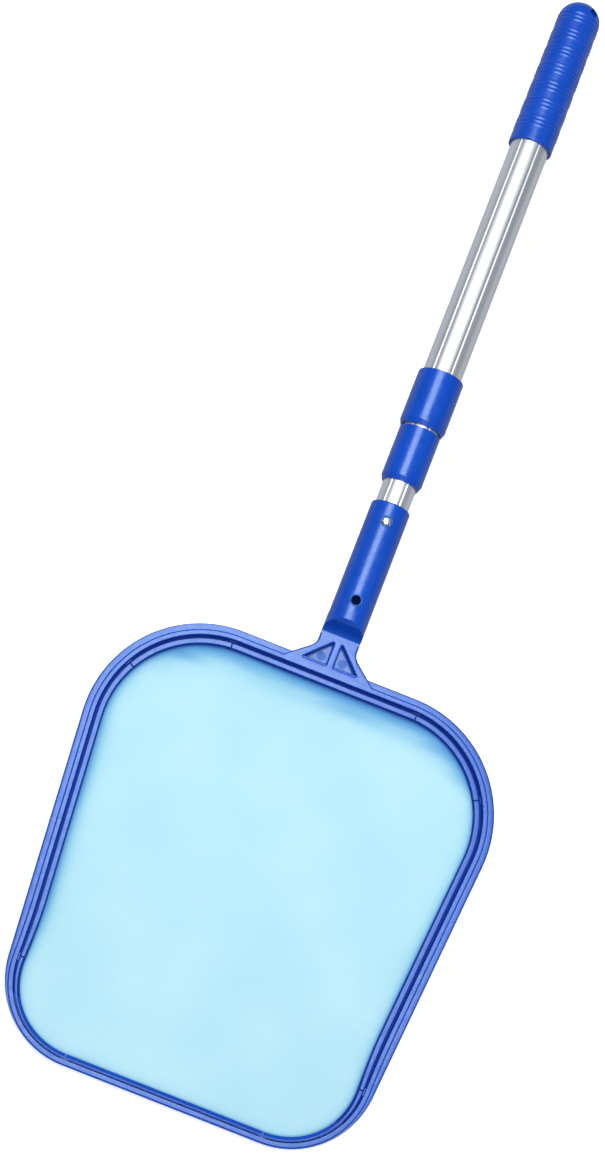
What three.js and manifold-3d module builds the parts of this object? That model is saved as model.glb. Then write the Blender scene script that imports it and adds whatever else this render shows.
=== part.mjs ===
// Leaf skimmer net: a shallow mesh net in a snap-together rim, on a three-section telescopic pole.
// Millimetres, +Z up. It lies net upwards, with its pole along Y: grip at +Y, net at -Y.
// The origin is under the middle of the whole length, on the surface that it lies on.
import * as THREE from "three";
import { mergeVertices } from "three/addons/utils/BufferGeometryUtils.js";
import Module from "manifold-3d";

// ---- Driving dimensions: lengths along the pole, from the net's front edge to the grip's tip ----
const rimLength = 306.5;
const bracketLength = 22.5;
const socketLength = 95;
const neckLength = 17.1;
const lowerCollarLength = 40.5;
const collarGap = 1.8;
const upperCollarLength = 41.3;
const shownOuterTube = 187.1;
const gripLength = 122.7;

// ---- Rim, retaining ring and mesh ----
const rimHalfWidthBack = 151.5;
const rimHalfWidthFront = 121.5;
const backCornerRadius = 81;
const frontCornerRadius = 59;
const rimHeightBack = 15;
const rimHeightFront = 11;
const bandWidthBack = 7.9;
const bandWidthFront = 4;
const ringGapBack = 2;
const ringGapFront = 0.9;
const ringWidthBack = 3.9;
const ringWidthFront = 2.9;
const narrowsFrom = 0.7;
const ringHeight = 4.2;
const shelfTop = 5;
const shelfThickness = 2;
const shelfReach = 0.8;
const meshThickness = 0.5;
const meshSag = 2.4;
const meshEdgeInset = 0.4;
const meshFlatPastRing = 1.5;
const rimEdgeChamfer = 0.8;
const rimEdgeRounding = 0.5;
const beadWidth = 3.6;
const beadSlope = 0.6;
const beadFall = 0.9;
const ledgeDrop = 0.7;
const ledgeFall = 0.3;
const wallDraft = 0.1;
const footReach = 1.5;
const ringRounding = 0.4;
const ringSlopeWidth = 0.8;
const ringSlopeFall = 1.7;
const flangeHeight = 1.6;
const flangeGap = 0.3;
const lugLength = 5;
const lugHeight = 1;
const lugReachShare = 0.65;
const lugRoot = 0.4;
const lugPlaces = [[0.35, 1], [0, 0.65], [0, 1], [0, 1]];

// ---- Bracket and socket ----
const socketWall = 1.85;
const socketMouthRounding = 1.4;
const socketTail = 4;
const socketClearance = 0.3;
const bracketHalfWidth = 28;
const bracketUnderside = 3;
const bracketEdgeChamfer = 0.8;
const flareSlope = 0.76;
const flareFillet = 4;
const noseRun = 6.5;
const noseWall = 6.8;
const pocketDepth = 7;
const pocketWall = 8.5;
const pocketOverRim = 1.3;
const centreRibWidth = 5.6;
const buttonHoleFromMouth = 14;
const spareHoleFromButton = 59;
const socketHoleRadius = 3.5;
const boreEndPastSpareHole = 9;

// ---- Pole tubes ----
const outerTubeRadius = 14;
const tubeWall = 0.9;
const tubeClearance = 0.2;
const fluteDepth = 0.4;
const fluteWidthAngle = 12;
const fluteCount = 7;
const fluteStart = -18.5;
const tubeInSocket = 34;
const innerTubeLength = 396;
const outerTubeGripInsertion = 107;
const gapAboveInnerTube = 18;
const plugLength = 12;
const plugWall = 1.4;
const plugHead = 2.5;
const plugClearance = 0.2;

// ---- Twist locks ----
const upperCollarWall = 1.15;
const upperSleeveWall = 1;
const lowerCollarWall = 0.8;
const lowerSleeveWall = 0.6;
const collarLip = 3;
const clampRingLength = 9.5;
const clampTipWall = 0.8;
const clampSplit = 2.4;
const clampToTube = 0.5;
const sleeveInset = 1.5;
const beadHeight = 0.3;
const beadLength = 2;
const beadFromSleeveEnd = 7;
const collarTaper = 1.5;
const collarTaperLength = 3.5;

// ---- Grip ----
const gripClearance = 0.3;
const gripWall = 1.9;
const gripTaper = 0.6;
const gripLip = 0.8;
const ribGroups = 7;
const ribsPerGroup = 3;
const ribPitch = 3.2;
const ribGroupPitch = 14.9;
const ribHeight = 0.3;
const firstRibFromTip = 14.8;
const gripDomeLength = 14;
const gripCapLength = 15;
const hangHoleRadius = 3.2;
const hangHoleFromTip = 9.2;
const hangHoleTurn = 57;

// ---- Locking buttons and their spring ----
const buttonRadius = 2.9;
const buttonProud = 1.25;
const buttonDome = 0.9;
const clipWidth = 6;
const clipThickness = 0.7;
const clipLegLength = 36;
const clipInsideBore = 1.8;
const clipBendRadius = 3.6;
const clipFootHalfLength = 5;
const clipToe = 3;
const clipToeRise = 1.5;

// ---- Shared clearances ----
const touchGap = 0.3;
const runningGap = 0.2;
const floorGap = 0.1;

// ---- Places worked out from the dimensions above ----
const overallLength = rimLength + bracketLength + socketLength + neckLength + lowerCollarLength
  + collarGap + upperCollarLength + shownOuterTube + gripLength;
const rimFrontY = -overallLength / 2;
const rimBackY = rimFrontY + rimLength;
const noseFootY = rimBackY + bracketLength;
const socketMouthY = noseFootY + socketLength;
const lowerCollarY = socketMouthY + neckLength;
const upperCollarY = lowerCollarY + lowerCollarLength + collarGap;
const gripMouthY = upperCollarY + upperCollarLength + shownOuterTube;
const gripTipY = gripMouthY + gripLength;
const middleTubeRadius = outerTubeRadius - tubeWall - tubeClearance;
const innerTubeRadius = middleTubeRadius - tubeWall - tubeClearance;
const upperCollarRadius = outerTubeRadius + 2 * runningGap + upperSleeveWall + upperCollarWall;
const lowerCollarRadius = middleTubeRadius + 2 * runningGap + lowerSleeveWall + lowerCollarWall;
const gripMouthRadius = outerTubeRadius + gripClearance + gripWall;
const gripTipRadius = gripMouthRadius - gripTaper;
const socketRadius = innerTubeRadius + socketClearance + socketWall;
const poleZ = Math.max(upperCollarRadius, gripMouthRadius + ribHeight) + floorGap;
const clipReach = innerTubeRadius - tubeWall - clipInsideBore;
const tubeStartInCollar = collarLip + touchGap + clampRingLength + clampToTube;
const innerTubeY = socketMouthY - tubeInSocket;
const innerTubeEndY = innerTubeY + innerTubeLength;
const middleTubeY = lowerCollarY + tubeStartInCollar;
const middleTubeEndY = innerTubeEndY + gapAboveInnerTube;
const outerTubeY = upperCollarY + tubeStartInCollar;
const outerTubeEndY = gripMouthY + outerTubeGripInsertion;
const buttonY = socketMouthY - buttonHoleFromMouth;
const spareHoleY = buttonY - spareHoleFromButton;
const meshUnderside = shelfTop + touchGap;
const ringUnderside = meshUnderside + meshThickness + touchGap;

const roundSides = 32;
const smallSides = 20;

const wasm = await Module();
wasm.setup();

// ---- Solids ----

// Turns a closed three.js geometry into a solid that can be joined and cut.
function solidOf(geometry) {
  const bare = geometry.index ? geometry.toNonIndexed() : geometry.clone();
  bare.deleteAttribute("normal");
  bare.deleteAttribute("uv");
  const merged = mergeVertices(bare, 1e-4);
  const corners = merged.index.array;
  const kept = [];
  for (let i = 0; i < corners.length; i += 3) {
    const [a, b, c] = corners.slice(i, i + 3);
    if (a !== b && b !== c && a !== c) kept.push(a, b, c);
  }
  return new wasm.Manifold(new wasm.Mesh({
    numProp: 3,
    vertProperties: merged.attributes.position.array,
    triVerts: new Uint32Array(kept),
  }));
}

// Gives a solid back as a three.js geometry.
function geometryOf(solid) {
  const made = solid.getMesh();
  const geometry = new THREE.BufferGeometry();
  geometry.setAttribute("position", new THREE.BufferAttribute(new Float32Array(made.vertProperties), 3));
  geometry.setIndex(new THREE.BufferAttribute(new Uint32Array(made.triVerts), 1));
  const flat = geometry.toNonIndexed();
  flat.computeVertexNormals();
  return flat;
}

// A solid of revolution round the pole's axis: the profile is [radius, y] points, outside upwards.
function turned(profile, sides = roundSides) {
  const points = profile.map(([radius, y]) => new THREE.Vector2(radius, y));
  return solidOf(new THREE.LatheGeometry(points, sides).translate(0, 0, poleZ));
}

// A ring of revolution: its profile closes on itself.
function turnedRing(profile, sides = roundSides) {
  return turned([...profile, profile[0]], sides);
}

// A flat outline in the XY plane, raised from one height to another.
function raised(shape, bottom, top) {
  const geometry = new THREE.ExtrudeGeometry(shape, { depth: top - bottom, bevelEnabled: false });
  return solidOf(geometry.translate(0, 0, bottom));
}

// A flat outline given as [y, z] points, drawn across the object from one x to another.
function across(points, left, right) {
  const shape = new THREE.Shape(points.map(([y, z]) => new THREE.Vector2(y, z)));
  const geometry = new THREE.ExtrudeGeometry(shape, { depth: right - left, bevelEnabled: false });
  const turn = new THREE.Matrix4().makeBasis(
    new THREE.Vector3(0, 1, 0), new THREE.Vector3(0, 0, 1), new THREE.Vector3(1, 0, 0));
  return solidOf(geometry.applyMatrix4(turn).translate(left, 0, 0));
}

// An upright round pin or hole cutter, centred on x = 0.
function uprightPin(radius, y, bottom, top, sides = smallSides) {
  const pin = new THREE.CylinderGeometry(radius, radius, top - bottom, sides);
  return solidOf(pin.rotateX(Math.PI / 2).translate(0, y, (bottom + top) / 2));
}

// ---- The rim's outline ----

function mix(a, b, share) {
  return a + (b - a) * share;
}

// Points round a trapezium with round corners, each with its inward direction, anticlockwise from above.
// A station with a lug stands at one of the shares of its corner's arc that lugPlaces names.
function outlineStations(arcSteps, straightSteps) {
  const corners = [
    { x: rimHalfWidthBack, y: rimBackY, radius: backCornerRadius },
    { x: -rimHalfWidthBack, y: rimBackY, radius: backCornerRadius },
    { x: -rimHalfWidthFront, y: rimFrontY, radius: frontCornerRadius },
    { x: rimHalfWidthFront, y: rimFrontY, radius: frontCornerRadius },
  ];
  const arcs = corners.map((corner, i) => {
    const here = new THREE.Vector2(corner.x, corner.y);
    const before = corners[(i + 3) % 4];
    const after = corners[(i + 1) % 4];
    const back = new THREE.Vector2(before.x, before.y).sub(here).normalize();
    const ahead = new THREE.Vector2(after.x, after.y).sub(here).normalize();
    const half = Math.acos(back.dot(ahead)) / 2;
    const middle = back.clone().add(ahead).normalize();
    const centre = here.clone().addScaledVector(middle, corner.radius / Math.sin(half));
    const start = here.clone().addScaledVector(back, corner.radius / Math.tan(half)).sub(centre);
    const sweep = Math.PI - 2 * half;
    return { centre, radius: corner.radius, from: start.angle(), sweep };
  });
  const stations = [];
  arcs.forEach((arc, i) => {
    for (let step = 0; step <= arcSteps; step++) {
      const angle = arc.from + (arc.sweep * step) / arcSteps;
      const outward = new THREE.Vector2(Math.cos(angle), Math.sin(angle));
      const point = arc.centre.clone().addScaledVector(outward, arc.radius);
      const hasLug = lugPlaces[i].some((share) => Math.round(share * arcSteps) === step);
      stations.push({ x: point.x, y: point.y, inX: -outward.x, inY: -outward.y, hasLug });
    }
    const next = arcs[(i + 1) % 4];
    const from = stations[stations.length - 1];
    const endX = next.centre.x + next.radius * Math.cos(next.from);
    const endY = next.centre.y + next.radius * Math.sin(next.from);
    for (let step = 1; step < straightSteps; step++) {
      const share = step / straightSteps;
      stations.push({
        x: mix(from.x, endX, share), y: mix(from.y, endY, share), inX: from.inX, inY: from.inY, hasLug: false,
      });
    }
  });
  return stations;
}

const stations = outlineStations(9, 3);

// How far towards the front a station is, from 0 at the pole's side to 1 at the front edge.
function frontShare(station) {
  return (rimBackY - station.y) / rimLength;
}

// How far the rim has narrowed: 0 along its back and sides, rising to 1 round the front corners.
function narrowing(station) {
  return THREE.MathUtils.smoothstep(frontShare(station), narrowsFrom, 1);
}

function bandWidth(station) {
  return mix(bandWidthBack, bandWidthFront, narrowing(station));
}

function ringWidth(station) {
  return mix(ringWidthBack, ringWidthFront, narrowing(station));
}

function rimHeight(station) {
  return mix(rimHeightBack, rimHeightFront, frontShare(station));
}

function ringInset(station) {
  return bandWidth(station) + mix(ringGapBack, ringGapFront, narrowing(station));
}

// A point of a section: so far inwards from the outline, at a height.
function inwards(station, inset, z) {
  return [station.x + station.inX * inset, station.y + station.inY * inset, z];
}

// A closed surface through rows of points, one row for each step of the section.
// A tube joins its last row to its first; otherwise each end row closes on its own middle point.
function lofted(rows, isTube) {
  const count = rows[0].length;
  const points = rows.flat();
  const triangles = [];
  const lastRow = isTube ? rows.length : rows.length - 1;
  for (let row = 0; row < lastRow; row++) {
    const nextRow = (row + 1) % rows.length;
    for (let i = 0; i < count; i++) {
      const next = (i + 1) % count;
      const [a, b] = [row * count + i, row * count + next];
      const [c, d] = [nextRow * count + i, nextRow * count + next];
      triangles.push(a, b, d, a, d, c);
    }
  }
  if (!isTube) {
    [0, rows.length - 1].forEach((row) => {
      const middle = points.length;
      const sum = rows[row].reduce((total, p) => total.map((value, k) => value + p[k]), [0, 0, 0]);
      points.push(sum.map((value) => value / count));
      for (let i = 0; i < count; i++) {
        const [a, b] = [row * count + i, row * count + ((i + 1) % count)];
        if (row === 0) triangles.push(middle, b, a);
        else triangles.push(middle, a, b);
      }
    });
  }
  const geometry = new THREE.BufferGeometry();
  geometry.setAttribute("position", new THREE.Float32BufferAttribute(points.flat(), 3));
  geometry.setIndex(triangles);
  return solidOf(geometry);
}

// Sweeps a section round the rim: the section gives [inset, height] points for a station.
function sweptRound(section) {
  const sections = stations.map(section);
  const rows = sections[0].map((_, k) => stations.map((station, i) => inwards(station, ...sections[i][k])));
  return lofted(rows, true);
}

// Short lugs on the rim's inner wall, which hold the retaining ring down by its flange.
function lugs() {
  const bottom = ringUnderside + flangeHeight + touchGap;
  const root = (station) => bandWidth(station) - lugRoot;
  const tip = (station) => mix(bandWidth(station), ringInset(station), lugReachShare);
  const band = sweptRound((station) => [
    [root(station), bottom],
    [root(station), bottom + lugHeight],
    [tip(station), bottom + lugHeight],
    [tip(station), bottom],
  ]);
  return stations.filter((station) => station.hasLug).map((station) => {
    const reach = 2 * ringInset(station);
    const block = new THREE.BoxGeometry(reach, lugLength, rimHeightBack);
    const [x, y, z] = inwards(station, reach / 2, rimHeightBack / 2);
    const angle = Math.atan2(station.inY, station.inX);
    return band.intersect(solidOf(block.rotateZ(angle).translate(x, y, z)));
  });
}

// ---- Net head ----

// The rim's section, from its foot: outer wall, a flat ledge, a raised bead, inner wall and the mesh's shelf.
function frameSection(station) {
  const band = bandWidth(station);
  const top = rimHeight(station);
  const ledge = top - ledgeDrop;
  const beadFoot = band - beadWidth;
  const shelfEdge = ringInset(station) + ringWidth(station) + shelfReach;
  return [
    [rimEdgeChamfer, 0],
    [0, rimEdgeChamfer],
    [0, ledge - rimEdgeRounding],
    [Math.min(rimEdgeRounding, beadFoot / 2), ledge],
    [beadFoot, ledge - ledgeFall],
    [beadFoot + beadSlope, top],
    [band - beadSlope, top],
    [band, top - beadFall],
    [band + wallDraft, shelfTop],
    [shelfEdge, shelfTop],
    [shelfEdge, shelfTop - shelfThickness],
    [band + footReach, 0],
  ];
}

// Turns the right-hand side of an outline, listed from the pole's side to the front, into the whole outline.
function mirroredShape(side) {
  const left = side.map((p) => new THREE.Vector2(-p.x, p.y)).reverse();
  return new THREE.Shape([...side, ...left]);
}

// The flat bracket between rim and socket, seen from above: straight beside the socket, then flaring out.
function bracketOutline() {
  const cornerY = rimBackY + flareSlope * (bracketHalfWidth - socketRadius);
  const beadFoot = bandWidthBack - beadWidth;
  const side = new THREE.Path();
  side.moveTo(socketRadius, noseFootY + 2 * noseRun);
  side.lineTo(socketRadius, cornerY + flareFillet);
  side.quadraticCurveTo(
    socketRadius, cornerY, socketRadius + flareFillet, cornerY - flareSlope * flareFillet);
  side.lineTo(bracketHalfWidth, rimBackY);
  side.lineTo(bracketHalfWidth + beadFoot, rimBackY - beadFoot);
  side.lineTo(bracketHalfWidth + beadFoot, rimBackY - bandWidthBack + beadSlope);
  return mirroredShape(side.getPoints(5));
}

// The bracket as a plate whose top edge is chamfered.
function bracketPlate() {
  const geometry = new THREE.ExtrudeGeometry(bracketOutline(), {
    depth: rimHeightBack - bracketUnderside - bracketEdgeChamfer,
    bevelThickness: bracketEdgeChamfer,
    bevelSize: bracketEdgeChamfer,
    bevelOffset: -bracketEdgeChamfer,
    bevelSegments: 1,
  });
  const plate = solidOf(geometry.translate(0, 0, bracketUnderside));
  return plate.trimByPlane([0, 0, 1], bracketUnderside);
}

// One of the two triangular recesses in the bracket's top.
function pocket(side) {
  const inner = (side * centreRibWidth) / 2;
  const outer = side * (bracketHalfWidth - pocketWall);
  const shape = new THREE.Shape();
  shape.moveTo(inner, noseFootY - noseWall);
  shape.lineTo(inner, rimBackY - pocketOverRim);
  shape.lineTo(outer, rimBackY - pocketOverRim);
  return raised(shape, rimHeightBack - pocketDepth, rimHeightBack + 1);
}

// Rim, bracket and socket are one moulding.
function netFrame() {
  const rim = sweptRound(frameSection);
  const bracket = bracketPlate();
  const socketTop = poleZ + socketRadius;
  const tailY = noseFootY - socketTail;
  const barrel = turned([
    [0, tailY],
    [socketRadius, tailY],
    [socketRadius, socketMouthY - socketMouthRounding],
    [socketRadius - socketMouthRounding * 0.3, socketMouthY - socketMouthRounding * 0.3],
    [socketRadius - socketMouthRounding, socketMouthY],
    [0, socketMouthY],
  ]);
  const noseCut = across([
    [noseFootY, rimHeightBack],
    [noseFootY + noseRun, socketTop],
    [noseFootY + noseRun, socketTop + 1],
    [tailY - 1, socketTop + 1],
    [tailY - 1, rimHeightBack],
  ], -socketRadius - 1, socketRadius + 1);
  const boreEndY = spareHoleY - boreEndPastSpareHole;
  const bore = turned([
    [0, boreEndY],
    [innerTubeRadius + socketClearance, boreEndY],
    [innerTubeRadius + socketClearance, socketMouthY + 1],
    [0, socketMouthY + 1],
  ]);
  let frame = rim.add(bracket).add(barrel.subtract(noseCut)).subtract(bore);
  frame = frame.subtract(uprightPin(socketHoleRadius, buttonY, 0, socketTop + 1));
  frame = frame.subtract(uprightPin(socketHoleRadius, spareHoleY, poleZ, socketTop + 1));
  frame = frame.subtract(pocket(1)).subtract(pocket(-1));
  lugs().forEach((lug) => {
    frame = frame.add(lug);
  });
  return frame;
}

// The ring that snaps in over the mesh's edge: a flange outwards under the lugs, and a slope on its inner edge.
function retainingRing() {
  return sweptRound((station) => {
    const outer = ringInset(station);
    const inner = outer + ringWidth(station);
    const flange = bandWidth(station) + flangeGap;
    const top = ringUnderside + ringHeight;
    return [
      [flange, ringUnderside],
      [flange, ringUnderside + flangeHeight],
      [outer, ringUnderside + flangeHeight],
      [outer, top - ringRounding],
      [outer + ringRounding, top],
      [inner - ringSlopeWidth, top],
      [inner, top - ringSlopeFall],
      [inner, ringUnderside],
    ];
  });
}

// The mesh: flat where it is held, then sagging a little towards its middle.
function netMesh() {
  const around = (inset) => stations.map(
    (station) => inwards(station, ringInset(station) + inset(station), meshUnderside));
  const edge = around(() => meshEdgeInset);
  const held = around((station) => ringWidth(station) + meshFlatPastRing);
  const middle = new THREE.Vector2(0, (rimBackY + rimFrontY) / 2);
  const sagged = (share) => held.map(([x, y, z]) => [
    mix(middle.x, x, share), mix(middle.y, y, share), z - meshSag * (1 - share * share),
  ]);
  const below = [sagged(0.35), sagged(0.7), held, edge];
  const lift = (row) => row.map(([x, y, z]) => [x, y, z + meshThickness]);
  return lofted([...below, ...below.map(lift).reverse()], false);
}

// ---- Pole tubes ----

// A circle with shallow flutes along it, the same for a tube's outside and its bore.
function flutedCircle(radius) {
  const pitch = 360 / fluteCount;
  const half = fluteWidthAngle / 2;
  const between = (pitch - fluteWidthAngle) / 4;
  const offsets = [-half, -half / 2, 0, half / 2, half];
  for (let step = 1; step < 4; step++) offsets.push(half + step * between);
  const points = [];
  for (let flute = 0; flute < fluteCount; flute++) {
    offsets.forEach((offset) => {
      const depth = Math.abs(offset) < half ? fluteDepth * Math.cos((offset / half) * (Math.PI / 2)) ** 2 : 0;
      const angle = THREE.MathUtils.degToRad(fluteStart + flute * pitch + offset);
      points.push(new THREE.Vector2((radius - depth) * Math.cos(angle), (radius - depth) * Math.sin(angle)));
    });
  }
  return points;
}

function tube(radius, fromY, toY) {
  const shape = new THREE.Shape(flutedCircle(radius));
  shape.holes.push(new THREE.Path(flutedCircle(radius - tubeWall)));
  const geometry = new THREE.ExtrudeGeometry(shape, { depth: toY - fromY, bevelEnabled: false });
  const alongY = new THREE.Matrix4().makeBasis(
    new THREE.Vector3(1, 0, 0), new THREE.Vector3(0, 0, -1), new THREE.Vector3(0, 1, 0));
  return solidOf(geometry.applyMatrix4(alongY).translate(0, fromY, poleZ));
}

function innerTube() {
  const whole = tube(innerTubeRadius, innerTubeY, innerTubeEndY);
  return whole.subtract(uprightPin(buttonRadius + runningGap, buttonY, 0, 2 * poleZ));
}

// A moulded plug that closes a tube's upper end and guides it in the next tube.
function tubePlug(radius, endY) {
  const skirt = radius - tubeWall - fluteDepth - plugClearance;
  const seatY = endY + touchGap;
  return turned([
    [0, seatY],
    [skirt - plugWall, seatY],
    [skirt - plugWall, endY - plugLength],
    [skirt, endY - plugLength],
    [skirt, seatY],
    [radius - fluteDepth, seatY],
    [radius - fluteDepth, seatY + plugHead],
    [0, seatY + plugHead],
  ], 24);
}

// ---- Twist locks ----

// A sleeve on the end of the wider tube, a split ring round the sliding one, and a collar over both.
function makeLock({ bottomY, length, collarRadius, tubeRadius, slidingRadius, sleeveWall }) {
  const sleeveInner = tubeRadius + runningGap;
  const sleeveOuter = sleeveInner + sleeveWall;
  const bore = sleeveOuter + runningGap;
  const clampInner = slidingRadius + runningGap;
  const clampTip = clampInner + clampTipWall;
  const topY = bottomY + length;
  const clampY = bottomY + collarLip + touchGap;
  const clampTopY = clampY + clampRingLength;
  const sleeveY = bottomY + tubeStartInCollar;
  const sleeveTopY = topY - sleeveInset;
  const beadY = sleeveY + beadFromSleeveEnd;
  const sleeve = turnedRing([
    [sleeveInner, sleeveY],
    [sleeveOuter, sleeveY],
    [sleeveOuter, beadY],
    [sleeveOuter + beadHeight, beadY + beadHeight],
    [sleeveOuter + beadHeight, beadY + beadLength - beadHeight],
    [sleeveOuter, beadY + beadLength],
    [sleeveOuter, sleeveTopY],
    [sleeveInner, sleeveTopY],
  ]);
  const clampRing = turnedRing([
    [clampInner, clampY],
    [clampTip, clampY],
    [sleeveOuter, clampTopY],
    [clampInner, clampTopY],
  ]).subtract(across([
    [clampY - 1, poleZ - clampSplit / 2],
    [clampTopY + 1, poleZ - clampSplit / 2],
    [clampTopY + 1, poleZ + clampSplit / 2],
    [clampY - 1, poleZ + clampSplit / 2],
  ], 0, collarRadius));
  const edge = (collarRadius - bore) * 0.7;
  const collar = turnedRing([
    [slidingRadius + runningGap, bottomY],
    [collarRadius - collarTaper, bottomY],
    [collarRadius, bottomY + collarTaperLength],
    [collarRadius, topY - edge],
    [collarRadius - edge * 0.3, topY - edge * 0.3],
    [collarRadius - edge, topY],
    [bore, topY],
    [bore, beadY + beadLength + runningGap],
    [bore + beadHeight, beadY + beadLength - beadHeight + runningGap],
    [bore + beadHeight, beadY + beadHeight - runningGap],
    [bore, beadY - runningGap],
    [bore, clampTopY],
    [clampTip + runningGap, clampY - touchGap],
    [slidingRadius + runningGap, clampY - touchGap],
  ]);
  return { sleeve, clampRing, collar };
}

// ---- Grip ----

function grip() {
  const domeY = gripTipY - gripDomeLength;
  const boreRadius = outerTubeRadius + gripClearance;
  const boreEndY = gripTipY - gripCapLength;
  const skin = (y) => mix(gripMouthRadius, gripTipRadius, (y - gripMouthY) / (domeY - gripMouthY));
  const profile = [
    [0, boreEndY],
    [boreRadius, boreEndY],
    [boreRadius, gripMouthY],
    [gripMouthRadius - gripLip, gripMouthY],
    [gripMouthRadius, gripMouthY + gripLip],
  ];
  for (let group = ribGroups - 1; group >= 0; group--) {
    for (let rib = ribsPerGroup - 1; rib >= 0; rib--) {
      const y = gripTipY - firstRibFromTip - group * ribGroupPitch - rib * ribPitch;
      profile.push([skin(y), y - ribPitch * 0.35], [skin(y) + ribHeight, y], [skin(y), y + ribPitch * 0.35]);
    }
  }
  const domeSteps = 6;
  for (let step = 0; step < domeSteps; step++) {
    const angle = (step / domeSteps) * (Math.PI / 2);
    profile.push([gripTipRadius * Math.cos(angle), domeY + gripDomeLength * Math.sin(angle)]);
  }
  profile.push([0, gripTipY]);
  const hole = new THREE.CylinderGeometry(hangHoleRadius, hangHoleRadius, 4 * gripTipRadius, 16)
    .rotateZ(Math.PI / 2)
    .rotateY(-THREE.MathUtils.degToRad(hangHoleTurn))
    .translate(0, gripTipY - hangHoleFromTip, poleZ);
  return turned(profile, 24).subtract(solidOf(hole));
}

// ---- Buttons and spring clip ----

// A domed pin that stands on the clip's leg and passes through tube and socket; side is 1 on top, -1 below.
function lockButton(side) {
  const base = clipReach + clipThickness / 2 + touchGap;
  const top = socketRadius + buttonProud;
  const edge = top - buttonDome;
  const profile = [[0, base], [buttonRadius, base], [buttonRadius, edge]];
  const domeSteps = 3;
  for (let step = 1; step < domeSteps; step++) {
    const angle = (step / domeSteps) * (Math.PI / 2);
    profile.push([buttonRadius * Math.cos(angle), edge + buttonDome * Math.sin(angle)]);
  }
  profile.push([0, top]);
  const points = profile.map(([radius, height]) => new THREE.Vector2(radius, height));
  const turnedPin = new THREE.LatheGeometry(points, smallSides).rotateX((side * Math.PI) / 2);
  return solidOf(turnedPin.translate(0, buttonY, poleZ));
}

// A strip of even thickness along a line of [y, z] points.
function strip(line, thickness) {
  const offset = (amount) => line.map((point, i) => {
    const before = line[Math.max(i - 1, 0)];
    const after = line[Math.min(i + 1, line.length - 1)];
    const along = after.clone().sub(before).normalize();
    return [point.x - along.y * amount, point.y + along.x * amount];
  });
  return [...offset(-thickness / 2), ...offset(thickness / 2).reverse()];
}

// A spring strip bent double inside the tube: each leg carries one button.
function springClip() {
  const line = new THREE.Path();
  const [footY, heelY] = [buttonY - clipFootHalfLength, buttonY + clipFootHalfLength];
  line.moveTo(footY - clipToe, poleZ - clipReach + clipToeRise);
  line.lineTo(footY, poleZ - clipReach);
  line.lineTo(heelY, poleZ - clipReach);
  line.lineTo(buttonY + clipLegLength, poleZ - clipBendRadius);
  line.absarc(buttonY + clipLegLength, poleZ, clipBendRadius, -Math.PI / 2, Math.PI / 2, false);
  line.lineTo(heelY, poleZ + clipReach);
  line.lineTo(footY, poleZ + clipReach);
  line.lineTo(footY - clipToe, poleZ + clipReach - clipToeRise);
  return across(strip(line.getPoints(5), clipThickness), -clipWidth / 2, clipWidth / 2);
}

// ---- Assembly ----

const upperLock = makeLock({
  bottomY: upperCollarY, length: upperCollarLength, collarRadius: upperCollarRadius,
  tubeRadius: outerTubeRadius, slidingRadius: middleTubeRadius, sleeveWall: upperSleeveWall,
});
const lowerLock = makeLock({
  bottomY: lowerCollarY, length: lowerCollarLength, collarRadius: lowerCollarRadius,
  tubeRadius: middleTubeRadius, slidingRadius: innerTubeRadius, sleeveWall: lowerSleeveWall,
});

const finishes = {
  bluePlastic: { color: 0x1a52cc, roughness: 0.28, metalness: 0 },
  aluminium: { color: 0xc8cbd1, roughness: 0.32, metalness: 1 },
  steel: { color: 0xd5d6d8, roughness: 0.2, metalness: 1 },
  whitePlastic: { color: 0xe6e6e2, roughness: 0.5, metalness: 0 },
  meshFabric: { color: 0xb6ecfc, roughness: 0.8, metalness: 0 },
};

const skimmer = new THREE.Group();

function place(name, solid, finish) {
  const mesh = new THREE.Mesh(geometryOf(solid), new THREE.MeshStandardMaterial(finishes[finish]));
  mesh.name = name;
  skimmer.add(mesh);
}

place("net_frame", netFrame(), "bluePlastic");
place("retaining_ring", retainingRing(), "bluePlastic");
place("net_mesh", netMesh(), "meshFabric");
place("front_button", lockButton(1), "steel");
place("rear_button", lockButton(-1), "steel");
place("spring_clip", springClip(), "steel");
place("inner_tube", innerTube(), "aluminium");
place("inner_tube_plug", tubePlug(innerTubeRadius, innerTubeEndY), "whitePlastic");
place("middle_tube", tube(middleTubeRadius, middleTubeY, middleTubeEndY), "aluminium");
place("middle_tube_plug", tubePlug(middleTubeRadius, middleTubeEndY), "whitePlastic");
place("lower_lock_sleeve", lowerLock.sleeve, "whitePlastic");
place("lower_clamp_ring", lowerLock.clampRing, "whitePlastic");
place("lower_lock_collar", lowerLock.collar, "bluePlastic");
place("outer_tube", tube(outerTubeRadius, outerTubeY, outerTubeEndY), "aluminium");
place("upper_lock_sleeve", upperLock.sleeve, "whitePlastic");
place("upper_clamp_ring", upperLock.clampRing, "whitePlastic");
place("upper_lock_collar", upperLock.collar, "bluePlastic");
place("grip", grip(), "bluePlastic");

export default skimmer;
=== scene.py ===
"""Leaf skimmer net on a three-section telescopic pole: its looks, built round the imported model.

Metres, +Z up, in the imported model's frame: the grip is at +Y and the net at -Y.
"""
import math
from collections import namedtuple
from types import SimpleNamespace

import bmesh
import bpy
from mathutils import Matrix, Vector, geometry, noise


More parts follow.
